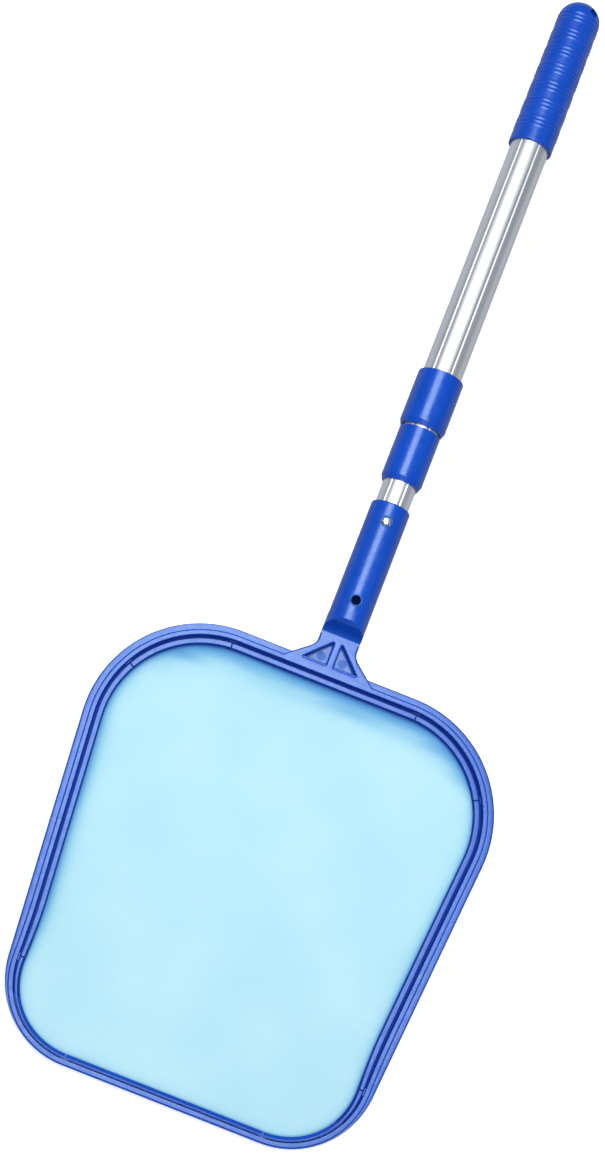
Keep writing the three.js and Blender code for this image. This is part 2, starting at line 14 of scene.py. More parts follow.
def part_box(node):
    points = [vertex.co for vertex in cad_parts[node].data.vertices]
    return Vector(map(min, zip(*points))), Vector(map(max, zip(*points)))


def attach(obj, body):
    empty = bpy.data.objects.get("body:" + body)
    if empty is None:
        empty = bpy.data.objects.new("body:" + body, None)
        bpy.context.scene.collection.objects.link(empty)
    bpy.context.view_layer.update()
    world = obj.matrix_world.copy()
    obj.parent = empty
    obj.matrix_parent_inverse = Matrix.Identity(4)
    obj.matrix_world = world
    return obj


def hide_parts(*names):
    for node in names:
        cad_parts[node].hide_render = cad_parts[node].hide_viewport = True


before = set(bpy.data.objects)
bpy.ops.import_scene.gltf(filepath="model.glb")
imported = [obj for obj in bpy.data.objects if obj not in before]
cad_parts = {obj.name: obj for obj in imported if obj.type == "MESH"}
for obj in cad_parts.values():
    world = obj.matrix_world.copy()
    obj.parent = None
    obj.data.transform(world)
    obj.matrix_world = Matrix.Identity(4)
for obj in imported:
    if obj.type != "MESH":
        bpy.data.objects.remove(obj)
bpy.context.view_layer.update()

MM = 0.001

# ---- Rim ----
RIM_LENGTH = 306.5 * MM
HALF_WIDTH_BACK = 151.5 * MM
HALF_WIDTH_FRONT = 121.5 * MM
BACK_CORNER = 81 * MM
FRONT_CORNER = 59 * MM
RIM_HEIGHT_BACK = 15 * MM
RIM_HEIGHT_FRONT = 11 * MM
BAND_BACK = 7.9 * MM
BAND_FRONT = 4.0 * MM
RING_GAP_BACK = 1.8 * MM
RING_GAP_FRONT = 0.7 * MM
RING_WIDTH_BACK = 3.9 * MM
RING_WIDTH_FRONT = 2.9 * MM
NARROWS_FROM = 0.7
LEDGE_DROP = 0.5 * MM
LEDGE_FALL = 0.1 * MM
BEAD_WIDTH = 3.6 * MM
BEAD_SLOPE = 0.8 * MM
BEAD_FALL = 0.9 * MM
OUTER_ROUNDING = 1.5 * MM
FOOT_CHAMFER = 0.8 * MM
FOOT_REACH = 1.5 * MM
WALL_DRAFT = 0.1 * MM
SHELF_TOP = 5 * MM
SHELF_THICKNESS = 2 * MM
SHELF_REACH = 0.8 * MM
RING_SLOPE_BACK = 0.8 * MM
RING_SLOPE_FRONT = 2.1 * MM
RING_SLOPE_FALL = 1.7 * MM
RING_EDGE_DEPTH = 0.7 * MM
FRONT_DEPTH = 30 * MM
FLANGE_HEIGHT = 1.6 * MM
FLANGE_GAP = 0.15 * MM
ARC_STEPS = 26
STRAIGHT_STEPS = 16

# ---- Lugs that hold the ring, and the notches beside them ----
LUG_LENGTH = 5 * MM
LUG_HEIGHT = 1 * MM
LUG_WIDTH = 1.1 * MM
LUG_GAP = 0.3 * MM
NOTCH_LENGTH = 1.0 * MM
NOTCH_DEPTH = 3 * MM
LUG_PLACES = [(0.35, 0.96), (0.04, 0.65), (0, 1), (0, 1)]

# ---- Bracket and socket ----
BRACKET_LENGTH = 22.5 * MM
BRACKET_HALF_WIDTH = 28 * MM
BRACKET_UNDERSIDE = 3 * MM
FLARE_SLOPE = 0.76
FLARE_FILLET = 4 * MM
EDGE_ROUNDING = 1.3 * MM
PLATE_OVERLAP = 0.5 * MM
NOSE_ROUNDING = 3 * MM
NOSE_FOOT_SHARE = 0.35
NOSE_CREST_SHARE = 0.7
NOSE_CUT_MARGIN = 4 * MM
POCKET_DEPTH = 7 * MM
POCKET_WALL = 8.5 * MM
POCKET_OVER_RIM = 1.3 * MM
CENTRE_RIB = 5.6 * MM
NOSE_WALL = 6.8 * MM
NOSE_RUN = 6.5 * MM
EJECTOR_RADIUS = 3 * MM
EJECTOR_X = 7.7 * MM
EJECTOR_RISE = 0.25 * MM
EJECTOR_EDGE = 0.1 * MM
EJECTOR_FROM_RIM = 4.95 * MM
SOCKET_MOUTH_ROUNDING = 1.4 * MM
SOCKET_TAIL = 4 * MM
SOCKET_BORE = 12.1 * MM
SOCKET_LEAD_IN = 1.5 * MM
SOCKET_LEAD_IN_DEPTH = 0.5 * MM
SOCKET_HOLE = 3.5 * MM
BUTTON_HOLE_FROM_MOUTH = 14 * MM
SPARE_HOLE_FROM_BUTTON = 59 * MM
BORE_END_PAST_HOLE = 9 * MM
HOLE_LIP = 0.5 * MM
HOLE_LIP_SPREAD = 0.6
HOLE_LIP_STEPS = 64
HOLE_LIP_SIDES = 10
PIN_REACH = 20 * MM

# ---- Where the plastic gets painted shade: steep walls deep in the groove and in the pockets ----
STEEP_WALL = 0.6
GROOVE_ENDS_BEFORE_BACK = 4 * MM
POCKET_END_MARGIN = 0.05

# ---- Tubes ----
TUBE_WALL = 0.9 * MM
TUBE_LIP = 0.2 * MM
FLUTE_COUNT = 7
FLUTE_START = 18.5
FLUTE_DEPTH = 0.4 * MM
FLUTE_ANGLE = 12
TUBE_SIDES = 288
TUBE_BUTTON_HOLE = 3.1 * MM

# ---- Plugs in the tubes' hidden ends ----
PLUG_GAP = 0.2 * MM
PLUG_WALL = 1.4 * MM
PLUG_HEAD = 2.5 * MM
PLUG_LEAD_IN = 0.4 * MM
PLUG_EDGE = 0.6 * MM

# ---- Twist locks ----
FINE_EDGE = 0.05 * MM
CRISP_EDGE = 0.1 * MM
EASED_EDGE = 0.15 * MM
RUNNING_GAP = 0.2 * MM
COLLAR_TAPER_WIDTH = 1.5 * MM
COLLAR_TAPER_LENGTH = 3.5 * MM
COLLAR_TAPER_ROUNDING = 1.6 * MM
COLLAR_LIP_ROUNDING = 0.35 * MM
COLLAR_END_SHARE = 0.7
SLEEVE_BEAD = 0.3 * MM
SLEEVE_BEAD_LENGTH = 2 * MM
SLEEVE_BEAD_FROM_END = 7 * MM
CLAMP_TIP_WALL = 0.8 * MM
CLAMP_SPLIT_HALF = 1.2 * MM

# ---- Buttons and their spring ----
BUTTON_DOME = 0.9 * MM
BUTTON_DOME_STEPS = 8
CLIP_THICKNESS = 0.7 * MM
CLIP_BEND = 3.6 * MM
CLIP_BEND_STEPS = 16
CLIP_LEG_REACH = 5 * MM
CLIP_TIP_REACH = 8 * MM
CLIP_TIP_DROP = 1.5 * MM

# ---- Grip ----
GRIP_TAPER = 0.6 * MM
GRIP_CLEARANCE = 0.3 * MM
GRIP_WALL = 1.9 * MM
GRIP_BORE = 14.3 * MM
GRIP_BORE_CHAMFER = 0.3 * MM
GRIP_DOME = 14 * MM
GRIP_CAP = 15 * MM
GRIP_LIP = 0.9 * MM
GRIP_LIP_STEPS = 4
GRIP_DOME_STEPS = 20
GRIP_ROWS = 420
GRIP_SIDES = 112
SKIN_DEPTH = 0.2 * MM
RIB_GROUPS = 7
RIBS_PER_GROUP = 3
RIB_PITCH = 3.2 * MM
RIB_GROUP_PITCH = 14.9 * MM
RIB_WIDTH = 2.5 * MM
RIB_HEIGHT = 0.3 * MM
FIRST_RIB = 14.8 * MM
HANG_HOLE = 3.2 * MM
HANG_HOLE_FROM_TIP = 9.2 * MM
HANG_HOLE_TURN = 57

# ---- Mesh cloth ----
CLOTH_THICKNESS = 0.25 * MM
CLOTH_TUCK = 0.6 * MM
CLOTH_UNDER_RING = 0.35 * MM
CLOTH_SAG = 2.2 * MM
SAG_REACH = 70 * MM
SETTLE_REACH = 9 * MM
CREASE_HEIGHT = 0.7 * MM
FINE_CREASE_HEIGHT = 0.25 * MM
GATHER_HEIGHT = 0.9 * MM
GATHER_REACH = 14 * MM
CLOTH_ROWS = 64
CLOTH_CROWDING = 1.9
# Painted shade along the mesh's held edge: streaks as of folds near the back, then strengths and reaches at
# the back, left, right and elsewhere.
FOLD_SHADE_AT = 6.5 * MM
FOLD_SHADE_SPREAD = 6 * MM
FOLD_SHADE_STRENGTH = 0.45
GATHER_AND_SHADE_BACK = 0.95
GATHER_AND_SHADE_BACK_REACH = 5 * MM
GATHER_AND_SHADE_BACK_SHARE = 0.22
GATHER_AND_SHADE_LEFT = 0.62
GATHER_AND_SHADE_LEFT_REACH = 3 * MM
GATHER_AND_SHADE_RIGHT = 0.30
GATHER_AND_SHADE_LEAST = 0.12
GATHER_AND_SHADE_LEAST_REACH = 2.2 * MM
THREAD_PITCH = 0.8 * MM

# ---- Camera and stage: angles in degrees, the turn being that of the pole in the camera's view ----
PICTURE_TURN = 21.5
CAMERA_ELEVATION = 76.5
CAMERA_DISTANCE = 1.356
CAMERA_AIM_X = -39.3 * MM
CAMERA_AIM_Y = -61.25 * MM
CAMERA_LENS = 62.4
CAMERA_SENSOR = 36
FLOOR_HALF = 6.0
FLOOR_DROP = 0.2 * MM
FLOOR_GLOW = 0.5
SOFTBOX_WIDTH = 0.74
SOFTBOX_LENGTH = 1.6
SOFTBOX_PLACE = (-0.145, 0.24, 1.5)
SOFTBOX_WATTS = 31

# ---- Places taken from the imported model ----
net_low, net_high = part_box("net_frame")
ring_low, ring_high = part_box("retaining_ring")
mesh_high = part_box("net_mesh")[1]
grip_low, grip_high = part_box("grip")
rim_front_y = net_low.y
rim_back_y = rim_front_y + RIM_LENGTH
nose_foot_y = rim_back_y + BRACKET_LENGTH
socket_mouth_y = net_high.y
pole_z = (grip_low.z + grip_high.z) / 2
socket_radius = net_high.z - pole_z
button_y = socket_mouth_y - BUTTON_HOLE_FROM_MOUTH
spare_hole_y = button_y - SPARE_HOLE_FROM_BUTTON

Station = namedtuple("Station", "point inward share has_lug")


# ---- Mesh building ----

def mix(a, b, share):
    return a + (b - a) * share


def make_object(name, points, faces):
    """A mesh object at the origin, with its doubles merged and its faces pointing out."""
    mesh = bpy.data.meshes.new(name)
    mesh.from_pydata([tuple(p) for p in points], [], faces)
    tidy(mesh)
    piece = bpy.data.objects.new(name, mesh)
    bpy.context.scene.collection.objects.link(piece)
    return piece


def tidy(mesh):
    """Merges doubles and points the faces outwards."""
    work = bmesh.new()
    work.from_mesh(mesh)
    bmesh.ops.remove_doubles(work, verts=work.verts, dist=1e-6)
    bmesh.ops.recalc_face_normals(work, faces=work.faces)
    work.to_mesh(mesh)
    work.free()


def soften(piece, degrees=32):
    """Smooth shading that keeps edges sharper than an angle."""
    piece.data.shade_smooth()
    piece.data.set_sharp_from_angle(angle=math.radians(degrees))


def even_shading(piece):
    """Keeps flat faces flat where they meet roundings, by weighting normals with face area."""
    weighted = piece.modifiers.new("weighted_normals", "WEIGHTED_NORMAL")
    weighted.keep_sharp = True
    bake_modifiers(piece)


def bake_modifiers(piece):
    """Turns the piece and its modifiers into one plain mesh."""
    bpy.context.view_layer.update()
    ready = piece.evaluated_get(bpy.context.evaluated_depsgraph_get())
    made = bpy.data.meshes.new_from_object(ready)
    piece.modifiers.clear()
    old = piece.data
    piece.data = made
    bpy.data.meshes.remove(old)
    made.name = piece.name


def combine(piece, other, operation):
    """Joins another solid to the piece or cuts it away, and removes the other."""
    modifier = piece.modifiers.new(operation.lower(), "BOOLEAN")
    modifier.object = other
    modifier.operation = operation
    modifier.solver = "MANIFOLD"
    bake_modifiers(piece)
    bpy.data.objects.remove(other)


def join(piece, other):
    combine(piece, other, "UNION")


def cut(piece, other):
    combine(piece, other, "DIFFERENCE")


def filleted(corners, steps=3):
    """A closed outline through (x, y, radius) corners, each softened over its radius."""
    points = []
    for i, (x, y, radius) in enumerate(corners):
        here = Vector((x, y))
        before = Vector(corners[i - 1][:2]) - here
        after = Vector(corners[(i + 1) % len(corners)][:2]) - here
        half = before.angle(after) / 2
        reach = min(radius / math.tan(half), before.length * 0.48, after.length * 0.48)
        start = here + before.normalized() * reach
        end = here + after.normalized() * reach
        for step in range(steps + 1):
            t = step / steps
            points.append(start * (1 - t) ** 2 + here * (2 * t * (1 - t)) + end * t * t)
    return points


def turned(name, profile, sides=96):
    """A solid turned round the pole's axis from a closed profile of (radius, y) points."""
    points, faces, rings = [], [], []
    for radius, y in profile:
        if radius < 1e-7:
            rings.append([len(points)] * sides)
            points.append((0, y, pole_z))
            continue
        rings.append(list(range(len(points), len(points) + sides)))
        for side in range(sides):
            angle = 2 * math.pi * side / sides
            points.append((radius * math.cos(angle), y, pole_z + radius * math.sin(angle)))
    for ring, after in zip(rings, rings[1:] + rings[:1]):
        for side in range(sides):
            turn = (side + 1) % sides
            corners = [ring[side], ring[turn], after[turn], after[side]]
            face = list(dict.fromkeys(corners))
            if len(face) > 2:
                faces.append(face)
    return make_object(name, points, faces)


def upright(name, profile, y, sides=48, flip=False):
    """A solid turned round an upright axis that meets the pole's, from (radius, height over it) points."""
    piece = turned(name, profile, sides)
    turn = Matrix.Rotation(math.radians(-90 if flip else 90), 4, "X")
    place = Matrix.Translation((0, y, pole_z)) @ turn @ Matrix.Translation((0, 0, -pole_z))
    piece.data.transform(place)
    return piece


def upright_pin(name, radius, y, bottom, top, sides=48):
    return upright(name, [(0, bottom), (radius, bottom), (radius, top), (0, top)], y, sides)


def offset_outline(outline, amount):
    """Moves a closed outline inwards, where inwards is to the left of its direction."""
    moved = []
    for i, here in enumerate(outline):
        back = (here - outline[i - 1]).normalized()
        ahead = (outline[(i + 1) % len(outline)] - here).normalized()
        left = Vector((-back.y - ahead.y, back.x + ahead.x)).normalized()
        lean = max(left.dot(Vector((-back.y, back.x))), 0.35)
        moved.append(here + left * (amount / lean))
    return moved


def rounded_plate(name, outline, holes, bottom, top, rounding, steps=3):
    """A flat plate with rounded top edges, its outline anticlockwise and its holes clockwise."""
    loops = [outline, *holes]
    levels = [(0, bottom), (0, top - rounding)]
    for step in range(1, steps + 1):
        angle = step / steps * math.pi / 2
        levels.append((rounding * (1 - math.cos(angle)), top - rounding * (1 - math.sin(angle))))
    points, faces = [], []
    for inset, z in levels:
        for loop in loops:
            points += [(p.x, p.y, z) for p in offset_outline(loop, inset)]
    layer = sum(len(loop) for loop in loops)
    for level in range(len(levels) - 1):
        start = level * layer
        for loop in loops:
            for i in range(len(loop)):
                a, b = start + i, start + (i + 1) % len(loop)
                faces.append([a, b, b + layer, a + layer])
            start += len(loop)
    for level in (0, len(levels) - 1):
        start = level * layer
        rings = []
        for loop in loops:
            rings.append([Vector(points[start + i]) for i in range(len(loop))])
            start += len(loop)
        for triangle in geometry.tessellate_polygon(rings):
            faces.append([level * layer + i for i in triangle])
    return make_object(name, points, faces)


# ---- The rim's outline ----

def corner_arc(before, here, after, radius):
    """The round corner at one point of the rim's outline: centre, start angle and sweep."""
    back = (before - here).normalized()
    ahead = (after - here).normalized()
    half = back.angle(ahead) / 2
    centre = here + (back + ahead).normalized() * (radius / math.sin(half))
    start = here + back * (radius / math.tan(half)) - centre
    return centre, math.atan2(start.y, start.x), math.pi - 2 * half


def outline_stations():
    """Stations round a trapezium with round corners, anticlockwise from above."""
    corners = [
        (Vector((HALF_WIDTH_BACK, rim_back_y)), BACK_CORNER),
        (Vector((-HALF_WIDTH_BACK, rim_back_y)), BACK_CORNER),
        (Vector((-HALF_WIDTH_FRONT, rim_front_y)), FRONT_CORNER),
        (Vector((HALF_WIDTH_FRONT, rim_front_y)), FRONT_CORNER),
    ]
    placed = []
    for i, (here, radius) in enumerate(corners):
        centre, start, sweep = corner_arc(corners[i - 1][0], here, corners[(i + 1) % 4][0], radius)
        lug_steps = [round(place * ARC_STEPS) for place in LUG_PLACES[i]]
        arc = []
        for step in range(ARC_STEPS + 1):
            angle = start + sweep * step / ARC_STEPS
            outward = Vector((math.cos(angle), math.sin(angle)))
            arc.append((centre + outward * radius, -outward, step in lug_steps))
        placed.append(arc)
    found = []
    for arc, following in zip(placed, placed[1:] + placed[:1]):
        found += arc
        last, first = arc[-1], following[0]
        for step in range(1, STRAIGHT_STEPS):
            found.append((last[0].lerp(first[0], step / STRAIGHT_STEPS), last[1], False))
    return [Station(p, inward, (rim_back_y - p.y) / RIM_LENGTH, lug) for p, inward, lug in found]


stations = outline_stations()


def narrowing(station):
    """How far the rim has narrowed: 0 along its back and sides, rising to 1 round the front corners."""
    t = min(max((station.share - NARROWS_FROM) / (1 - NARROWS_FROM), 0), 1)
    return t * t * (3 - 2 * t)


def band_width(station):
    return mix(BAND_BACK, BAND_FRONT, narrowing(station))


def ring_width(station):
    return mix(RING_WIDTH_BACK, RING_WIDTH_FRONT, narrowing(station))


def rim_height(station):
    return mix(RIM_HEIGHT_BACK, RIM_HEIGHT_FRONT, station.share)


def ring_inset(station):
    return band_width(station) + mix(RING_GAP_BACK, RING_GAP_FRONT, narrowing(station))


def swept_round(name, section):
    """Sweeps a closed section of (inset, height) points round the rim."""
    points, faces = [], []
    for station in stations:
        for inset, z in section(station):
            place = station.point + station.inward * inset
            points.append((place.x, place.y, z))
    count = len(points) // len(stations)
    for row in range(len(stations)):
        here, after = row * count, (row + 1) % len(stations) * count
        for i in range(count):
            turn = (i + 1) % count
            faces.append([here + i, here + turn, after + turn, after + i])
    return make_object(name, points, faces)


# ---- Geometry Nodes ----

def math_node(tree, operation, *values):
    """A math node fed by sockets or plain numbers."""
    node = tree.nodes.new("ShaderNodeMath")
    node.operation = operation
    feed(tree, node, values)
    return node.outputs[0]


def feed(tree, node, values):
    for socket, value in zip(node.inputs, values):
        if isinstance(value, bpy.types.NodeSocket):
            tree.links.new(value, socket)
        else:
            socket.default_value = value


def new_tree(name, sizes):
    """A Geometry Nodes tree with a geometry and a material input, and a named number for each size."""
    tree = bpy.data.node_groups.new(name, "GeometryNodeTree")
    tree.interface.new_socket("Geometry", in_out="INPUT", socket_type="NodeSocketGeometry")
    tree.interface.new_socket("Material", in_out="INPUT", socket_type="NodeSocketMaterial")
    for size in sizes:
        tree.interface.new_socket(size, in_out="INPUT", socket_type="NodeSocketFloat")
    tree.interface.new_socket("Geometry", in_out="OUTPUT", socket_type="NodeSocketGeometry")
    return tree, tree.nodes.new("NodeGroupInput").outputs


def end_tree(tree, result, material):
    """Ends a tree in Realize Instances and Set Material."""
    realize = tree.nodes.new("GeometryNodeRealizeInstances")
    paint = tree.nodes.new("GeometryNodeSetMaterial")
    tree.links.new(result, realize.inputs["Geometry"])
    tree.links.new(realize.outputs["Geometry"], paint.inputs["Geometry"])
    tree.links.new(material, paint.inputs["Material"])
    tree.links.new(paint.outputs["Geometry"], tree.nodes.new("NodeGroupOutput").inputs["Geometry"])


def apply_tree(piece, tree, sizes):
    """Runs a tree on the piece, with its inputs set by identifier, and keeps the result as its mesh."""
    modifier = piece.modifiers.new(tree.name, "NODES")
    modifier.node_group = tree
    for item in tree.interface.items_tree:
        if item.in_out == "INPUT" and item.name in sizes:
            modifier[item.identifier] = sizes[item.name]
    bake_modifiers(piece)


def radial_parts(tree):
    """A point's distance along the pole, angle round it, radius and outward direction, as sockets."""
    position = tree.nodes.new("GeometryNodeInputPosition").outputs[0]
    split = tree.nodes.new("ShaderNodeSeparateXYZ")
    tree.links.new(position, split.inputs[0])
    x, y, z = split.outputs
    height = math_node(tree, "SUBTRACT", z, pole_z)
    angle = math_node(tree, "ARCTAN2", height, x)
    outward = tree.nodes.new("ShaderNodeCombineXYZ")
    feed(tree, outward, (x, 0.0, height))
    length = tree.nodes.new("ShaderNodeVectorMath")
    length.operation = "LENGTH"
    tree.links.new(outward.outputs[0], length.inputs[0])
    direction = tree.nodes.new("ShaderNodeVectorMath")
    direction.operation = "NORMALIZE"
    tree.links.new(outward.outputs[0], direction.inputs[0])
    return y, angle, length.outputs["Value"], direction.outputs["Vector"]


def push_out(tree, points, direction, amount):
    """Moves points along a direction by an amount."""
    scale = tree.nodes.new("ShaderNodeVectorMath")
    scale.operation = "SCALE"
    tree.links.new(direction, scale.inputs[0])
    tree.links.new(amount, scale.inputs["Scale"])
    move = tree.nodes.new("GeometryNodeSetPosition")
    tree.links.new(points, move.inputs["Geometry"])
    tree.links.new(scale.outputs[0], move.inputs["Offset"])
    return move.outputs["Geometry"]


def raised_cosine(tree, distance, half_width):
    """1 at distance 0, falling smoothly to 0 at the half width."""
    share = math_node(tree, "MINIMUM", math_node(tree, "DIVIDE", distance, half_width), 1.0)
    wave = math_node(tree, "COSINE", math_node(tree, "MULTIPLY", share, math.pi / 2))
    return math_node(tree, "MULTIPLY", wave, wave)


def flute_tree():
    """Presses shallow flutes into a tube, evenly round it."""
    tree, given = new_tree("flutes", ["Count", "Depth", "Width angle", "Start angle"])
    _, angle, _, direction = radial_parts(tree)
    pitch = math_node(tree, "DIVIDE", 2 * math.pi, given["Count"])
    half_pitch = math_node(tree, "DIVIDE", pitch, 2.0)
    turned_angle = math_node(tree, "SUBTRACT", angle, given["Start angle"])
    wrapped = math_node(
        tree, "WRAP", turned_angle, half_pitch, math_node(tree, "MULTIPLY", half_pitch, -1.0))
    half_width = math_node(tree, "DIVIDE", given["Width angle"], 2.0)
    bump = raised_cosine(tree, math_node(tree, "ABSOLUTE", wrapped), half_width)
    depth = math_node(tree, "MULTIPLY", bump, math_node(tree, "MULTIPLY", given["Depth"], -1.0))
    end_tree(tree, push_out(tree, given["Geometry"], direction, depth), given["Material"])
    return tree


def rib_tree():
    """Raises groups of fine ribs on a grip's skin, counted from its tip."""
    names = ["Tip", "First rib", "Rib pitch", "Rib width", "Rib height", "Group pitch", "Groups",
             "Ribs per group", "Skin radius"]
    tree, given = new_tree("ribs", names)
    y, _, radius, direction = radial_parts(tree)
    half_pitch = math_node(tree, "DIVIDE", given["Rib pitch"], 2.0)
    from_tip = math_node(tree, "SUBTRACT", given["Tip"], y)
    along = math_node(
        tree, "ADD", math_node(tree, "SUBTRACT", from_tip, given["First rib"]), half_pitch)
    group = math_node(tree, "FLOOR", math_node(tree, "DIVIDE", along, given["Group pitch"]))
    in_group = math_node(
        tree, "SUBTRACT", along, math_node(tree, "MULTIPLY", group, given["Group pitch"]))
    rib = math_node(tree, "FLOOR", math_node(tree, "DIVIDE", in_group, given["Rib pitch"]))
    in_rib = math_node(
        tree, "SUBTRACT", in_group, math_node(tree, "MULTIPLY", rib, given["Rib pitch"]))
    away = math_node(tree, "ABSOLUTE", math_node(tree, "SUBTRACT", in_rib, half_pitch))
    bump = raised_cosine(tree, away, math_node(tree, "DIVIDE", given["Rib width"], 2.0))
    shown = math_node(tree, "LESS_THAN", rib, given["Ribs per group"])
    shown = math_node(
        tree, "MULTIPLY", shown, math_node(tree, "LESS_THAN", group, given["Groups"]))
    shown = math_node(tree, "MULTIPLY", shown, math_node(tree, "GREATER_THAN", along, 0.0))
    shown = math_node(
        tree, "MULTIPLY", shown, math_node(tree, "GREATER_THAN", radius, given["Skin radius"]))
    height = math_node(tree, "MULTIPLY", math_node(tree, "MULTIPLY", bump, shown), given["Rib height"])
    end_tree(tree, push_out(tree, given["Geometry"], direction, height), given["Material"])
    return tree


def block_tree():
    """Sets a block at each point, turned by the point's own angle."""
    tree, given = new_tree("snap_blocks", ["Across", "Along", "Up"])
    size = tree.nodes.new("ShaderNodeCombineXYZ")
    feed(tree, size, (given["Across"], given["Along"], given["Up"]))
    block = tree.nodes.new("GeometryNodeMeshCube")
    tree.links.new(size.outputs[0], block.inputs["Size"])
    turn = tree.nodes.new("GeometryNodeInputNamedAttribute")
    turn.data_type = "FLOAT"
    turn.inputs["Name"].default_value = "turn"
    rotation = tree.nodes.new("ShaderNodeCombineXYZ")
    tree.links.new(turn.outputs["Attribute"], rotation.inputs["Z"])
    copies = tree.nodes.new("GeometryNodeInstanceOnPoints")
    tree.links.new(given["Geometry"], copies.inputs["Points"])
    tree.links.new(block.outputs["Mesh"], copies.inputs["Instance"])
    tree.links.new(rotation.outputs[0], copies.inputs["Rotation"])
    end_tree(tree, copies.outputs["Instances"], given["Material"])
    return tree


# ---- Materials ----

class Paint:
    """One material's nodes, with short ways to add patterns on object coordinates."""

    def __init__(self, name, colour, metallic=0.0, roughness=0.4):
        self.material = bpy.data.materials.new(name)
        self.material.use_nodes = True
        self.tree = self.material.node_tree
        self.shader = self.tree.nodes["Principled BSDF"]
        self.shader.inputs["Base Color"].default_value = (*colour, 1)
        self.shader.inputs["Metallic"].default_value = metallic
        self.shader.inputs["Roughness"].default_value = roughness
        self.coords = self.tree.nodes.new("ShaderNodeTexCoord").outputs["Object"]

    def speckle(self, size, detail=2.0, stretch=(1, 1, 1)):
        """A noise value whose features measure about one size, shorter where it is stretched."""
        mapping = self.tree.nodes.new("ShaderNodeMapping")
        mapping.inputs["Scale"].default_value = stretch
        self.tree.links.new(self.coords, mapping.inputs["Vector"])
        node = self.tree.nodes.new("ShaderNodeTexNoise")
        node.inputs["Scale"].default_value = 1 / size
        node.inputs["Detail"].default_value = detail
        self.tree.links.new(mapping.outputs[0], node.inputs["Vector"])
        return node.outputs["Fac"]

    def between(self, value, low, high, start=0.3, end=0.7):
        """Maps a value onto a range of numbers."""
        node = self.tree.nodes.new("ShaderNodeMapRange")
        feed(self.tree, node, (value, start, end, low, high))
        return node.outputs[0]

    def blend(self, value, first, second):
        """Mixes two colours, given as numbers or sockets, by a value."""
        node = self.tree.nodes.new("ShaderNodeMix")
        node.data_type = "RGBA"
        colours = [s for s in node.inputs if s.type == "RGBA"]
        self.tree.links.new(value, node.inputs["Factor"])
        for socket, colour in zip(colours, (first, second)):
            if isinstance(colour, bpy.types.NodeSocket):
                self.tree.links.new(colour, socket)
            else:
                socket.default_value = (*colour, 1)
        return [s for s in node.outputs if s.type == "RGBA"][0]

    def set(self, socket, value):
        self.tree.links.new(value, self.shader.inputs[socket])

    def bump(self, heights, distance):
        """Chains bumps: (height value, strength) pairs."""
        normal = None
        for height, strength in heights:
            node = self.tree.nodes.new("ShaderNodeBump")
            node.inputs["Strength"].default_value = strength
            node.inputs["Distance"].default_value = distance
            self.tree.links.new(height, node.inputs["Height"])
            if normal is not None:
                self.tree.links.new(normal, node.inputs["Normal"])
            normal = node.outputs[0]
        self.tree.links.new(normal, self.shader.inputs["Normal"])


BLUE = (0.0025, 0.052, 0.39)
BLUE_DEEP = (0.0020, 0.046, 0.35)
BLUE_WORN = (0.004, 0.066, 0.44)
BLUE_GLOSS = (0.74, 0.94, 1.0)
# Painted shade: the darker blue of steep walls deep in the groove and the pockets.
PAINTED_SHADE_BLUE = (0.0015, 0.022, 0.19)
PAINTED_SHADE_BLUE_DEEP = (0.0012, 0.018, 0.16)
# The ejector marks' own satin blue, also laid on the hole lips as a lighter painted highlight.
MARK_AND_HIGHLIGHT_BLUE = (0.012, 0.098, 0.42)
MARK_AND_HIGHLIGHT_BLUE_DEEP = (0.008, 0.085, 0.38)


def blue_moulding(name, roughness):
    """Glossy blue polypropylene: faint flow marks, a fine skin and a slightly uneven polish."""
    paint = Paint(name, BLUE, roughness=roughness)
    paint.shader.inputs["Specular Tint"].default_value = (*BLUE_GLOSS, 1)
    paint.shader.inputs["Specular IOR Level"].default_value = 0.58
    cloudy = paint.between(paint.speckle(28 * MM), 0, 1)
    flow = paint.between(paint.speckle(9 * MM, 3, (1, 0.16, 1)), 0, 0.5, 0.45, 0.75)
    paint.set("Base Color", paint.blend(flow, paint.blend(cloudy, BLUE_DEEP, BLUE), BLUE_WORN))
    paint.set("Roughness", paint.between(paint.speckle(5 * MM), roughness - 0.04, roughness + 0.05))
    skin = paint.speckle(0.9 * MM, 2)
    ripple = paint.speckle(11 * MM, 1)
    paint.bump([(ripple, 0.10), (skin, 0.05)], 0.12 * MM)
    return paint.material


def satin_mark_and_highlight():
    """The duller blue of an ejector pin's mark, which the hole lips also take as a lighter painted
    highlight.
    """
    paint = Paint("ejector_mark_and_lip_highlight_blue", MARK_AND_HIGHLIGHT_BLUE, roughness=0.5)
    paint.set("Base Color", paint.blend(paint.speckle(1.2 * MM), MARK_AND_HIGHLIGHT_BLUE_DEEP, MARK_AND_HIGHLIGHT_BLUE))
    paint.shader.inputs["Specular Tint"].default_value = (*BLUE_GLOSS, 1)
    paint.bump([(paint.speckle(0.5 * MM), 0.2)], 0.1 * MM)
    return paint.material


def painted_shade_glow_blue():
    """The same plastic deep in grooves and pockets, with painted shade: a darker blue, and an emission that
    paints a faint blue glow into it.
    """
    paint = Paint("painted_shade_glow_blue", PAINTED_SHADE_BLUE, roughness=0.6)
    paint.shader.inputs["Specular IOR Level"].default_value = 0.12
    paint.shader.inputs["Specular Tint"].default_value = (*BLUE_GLOSS, 1)
    # Painted glow: the emission lights the shaded walls a faint blue.
    paint.shader.inputs["Emission Color"].default_value = (0.008, 0.028, 0.24, 1)
    paint.shader.inputs["Emission Strength"].default_value = 0.42
    paint.set("Base Color", paint.blend(paint.speckle(3 * MM), PAINTED_SHADE_BLUE_DEEP, PAINTED_SHADE_BLUE))
    paint.bump([(paint.speckle(0.8 * MM), 0.15)], 0.1 * MM)
    return paint.material


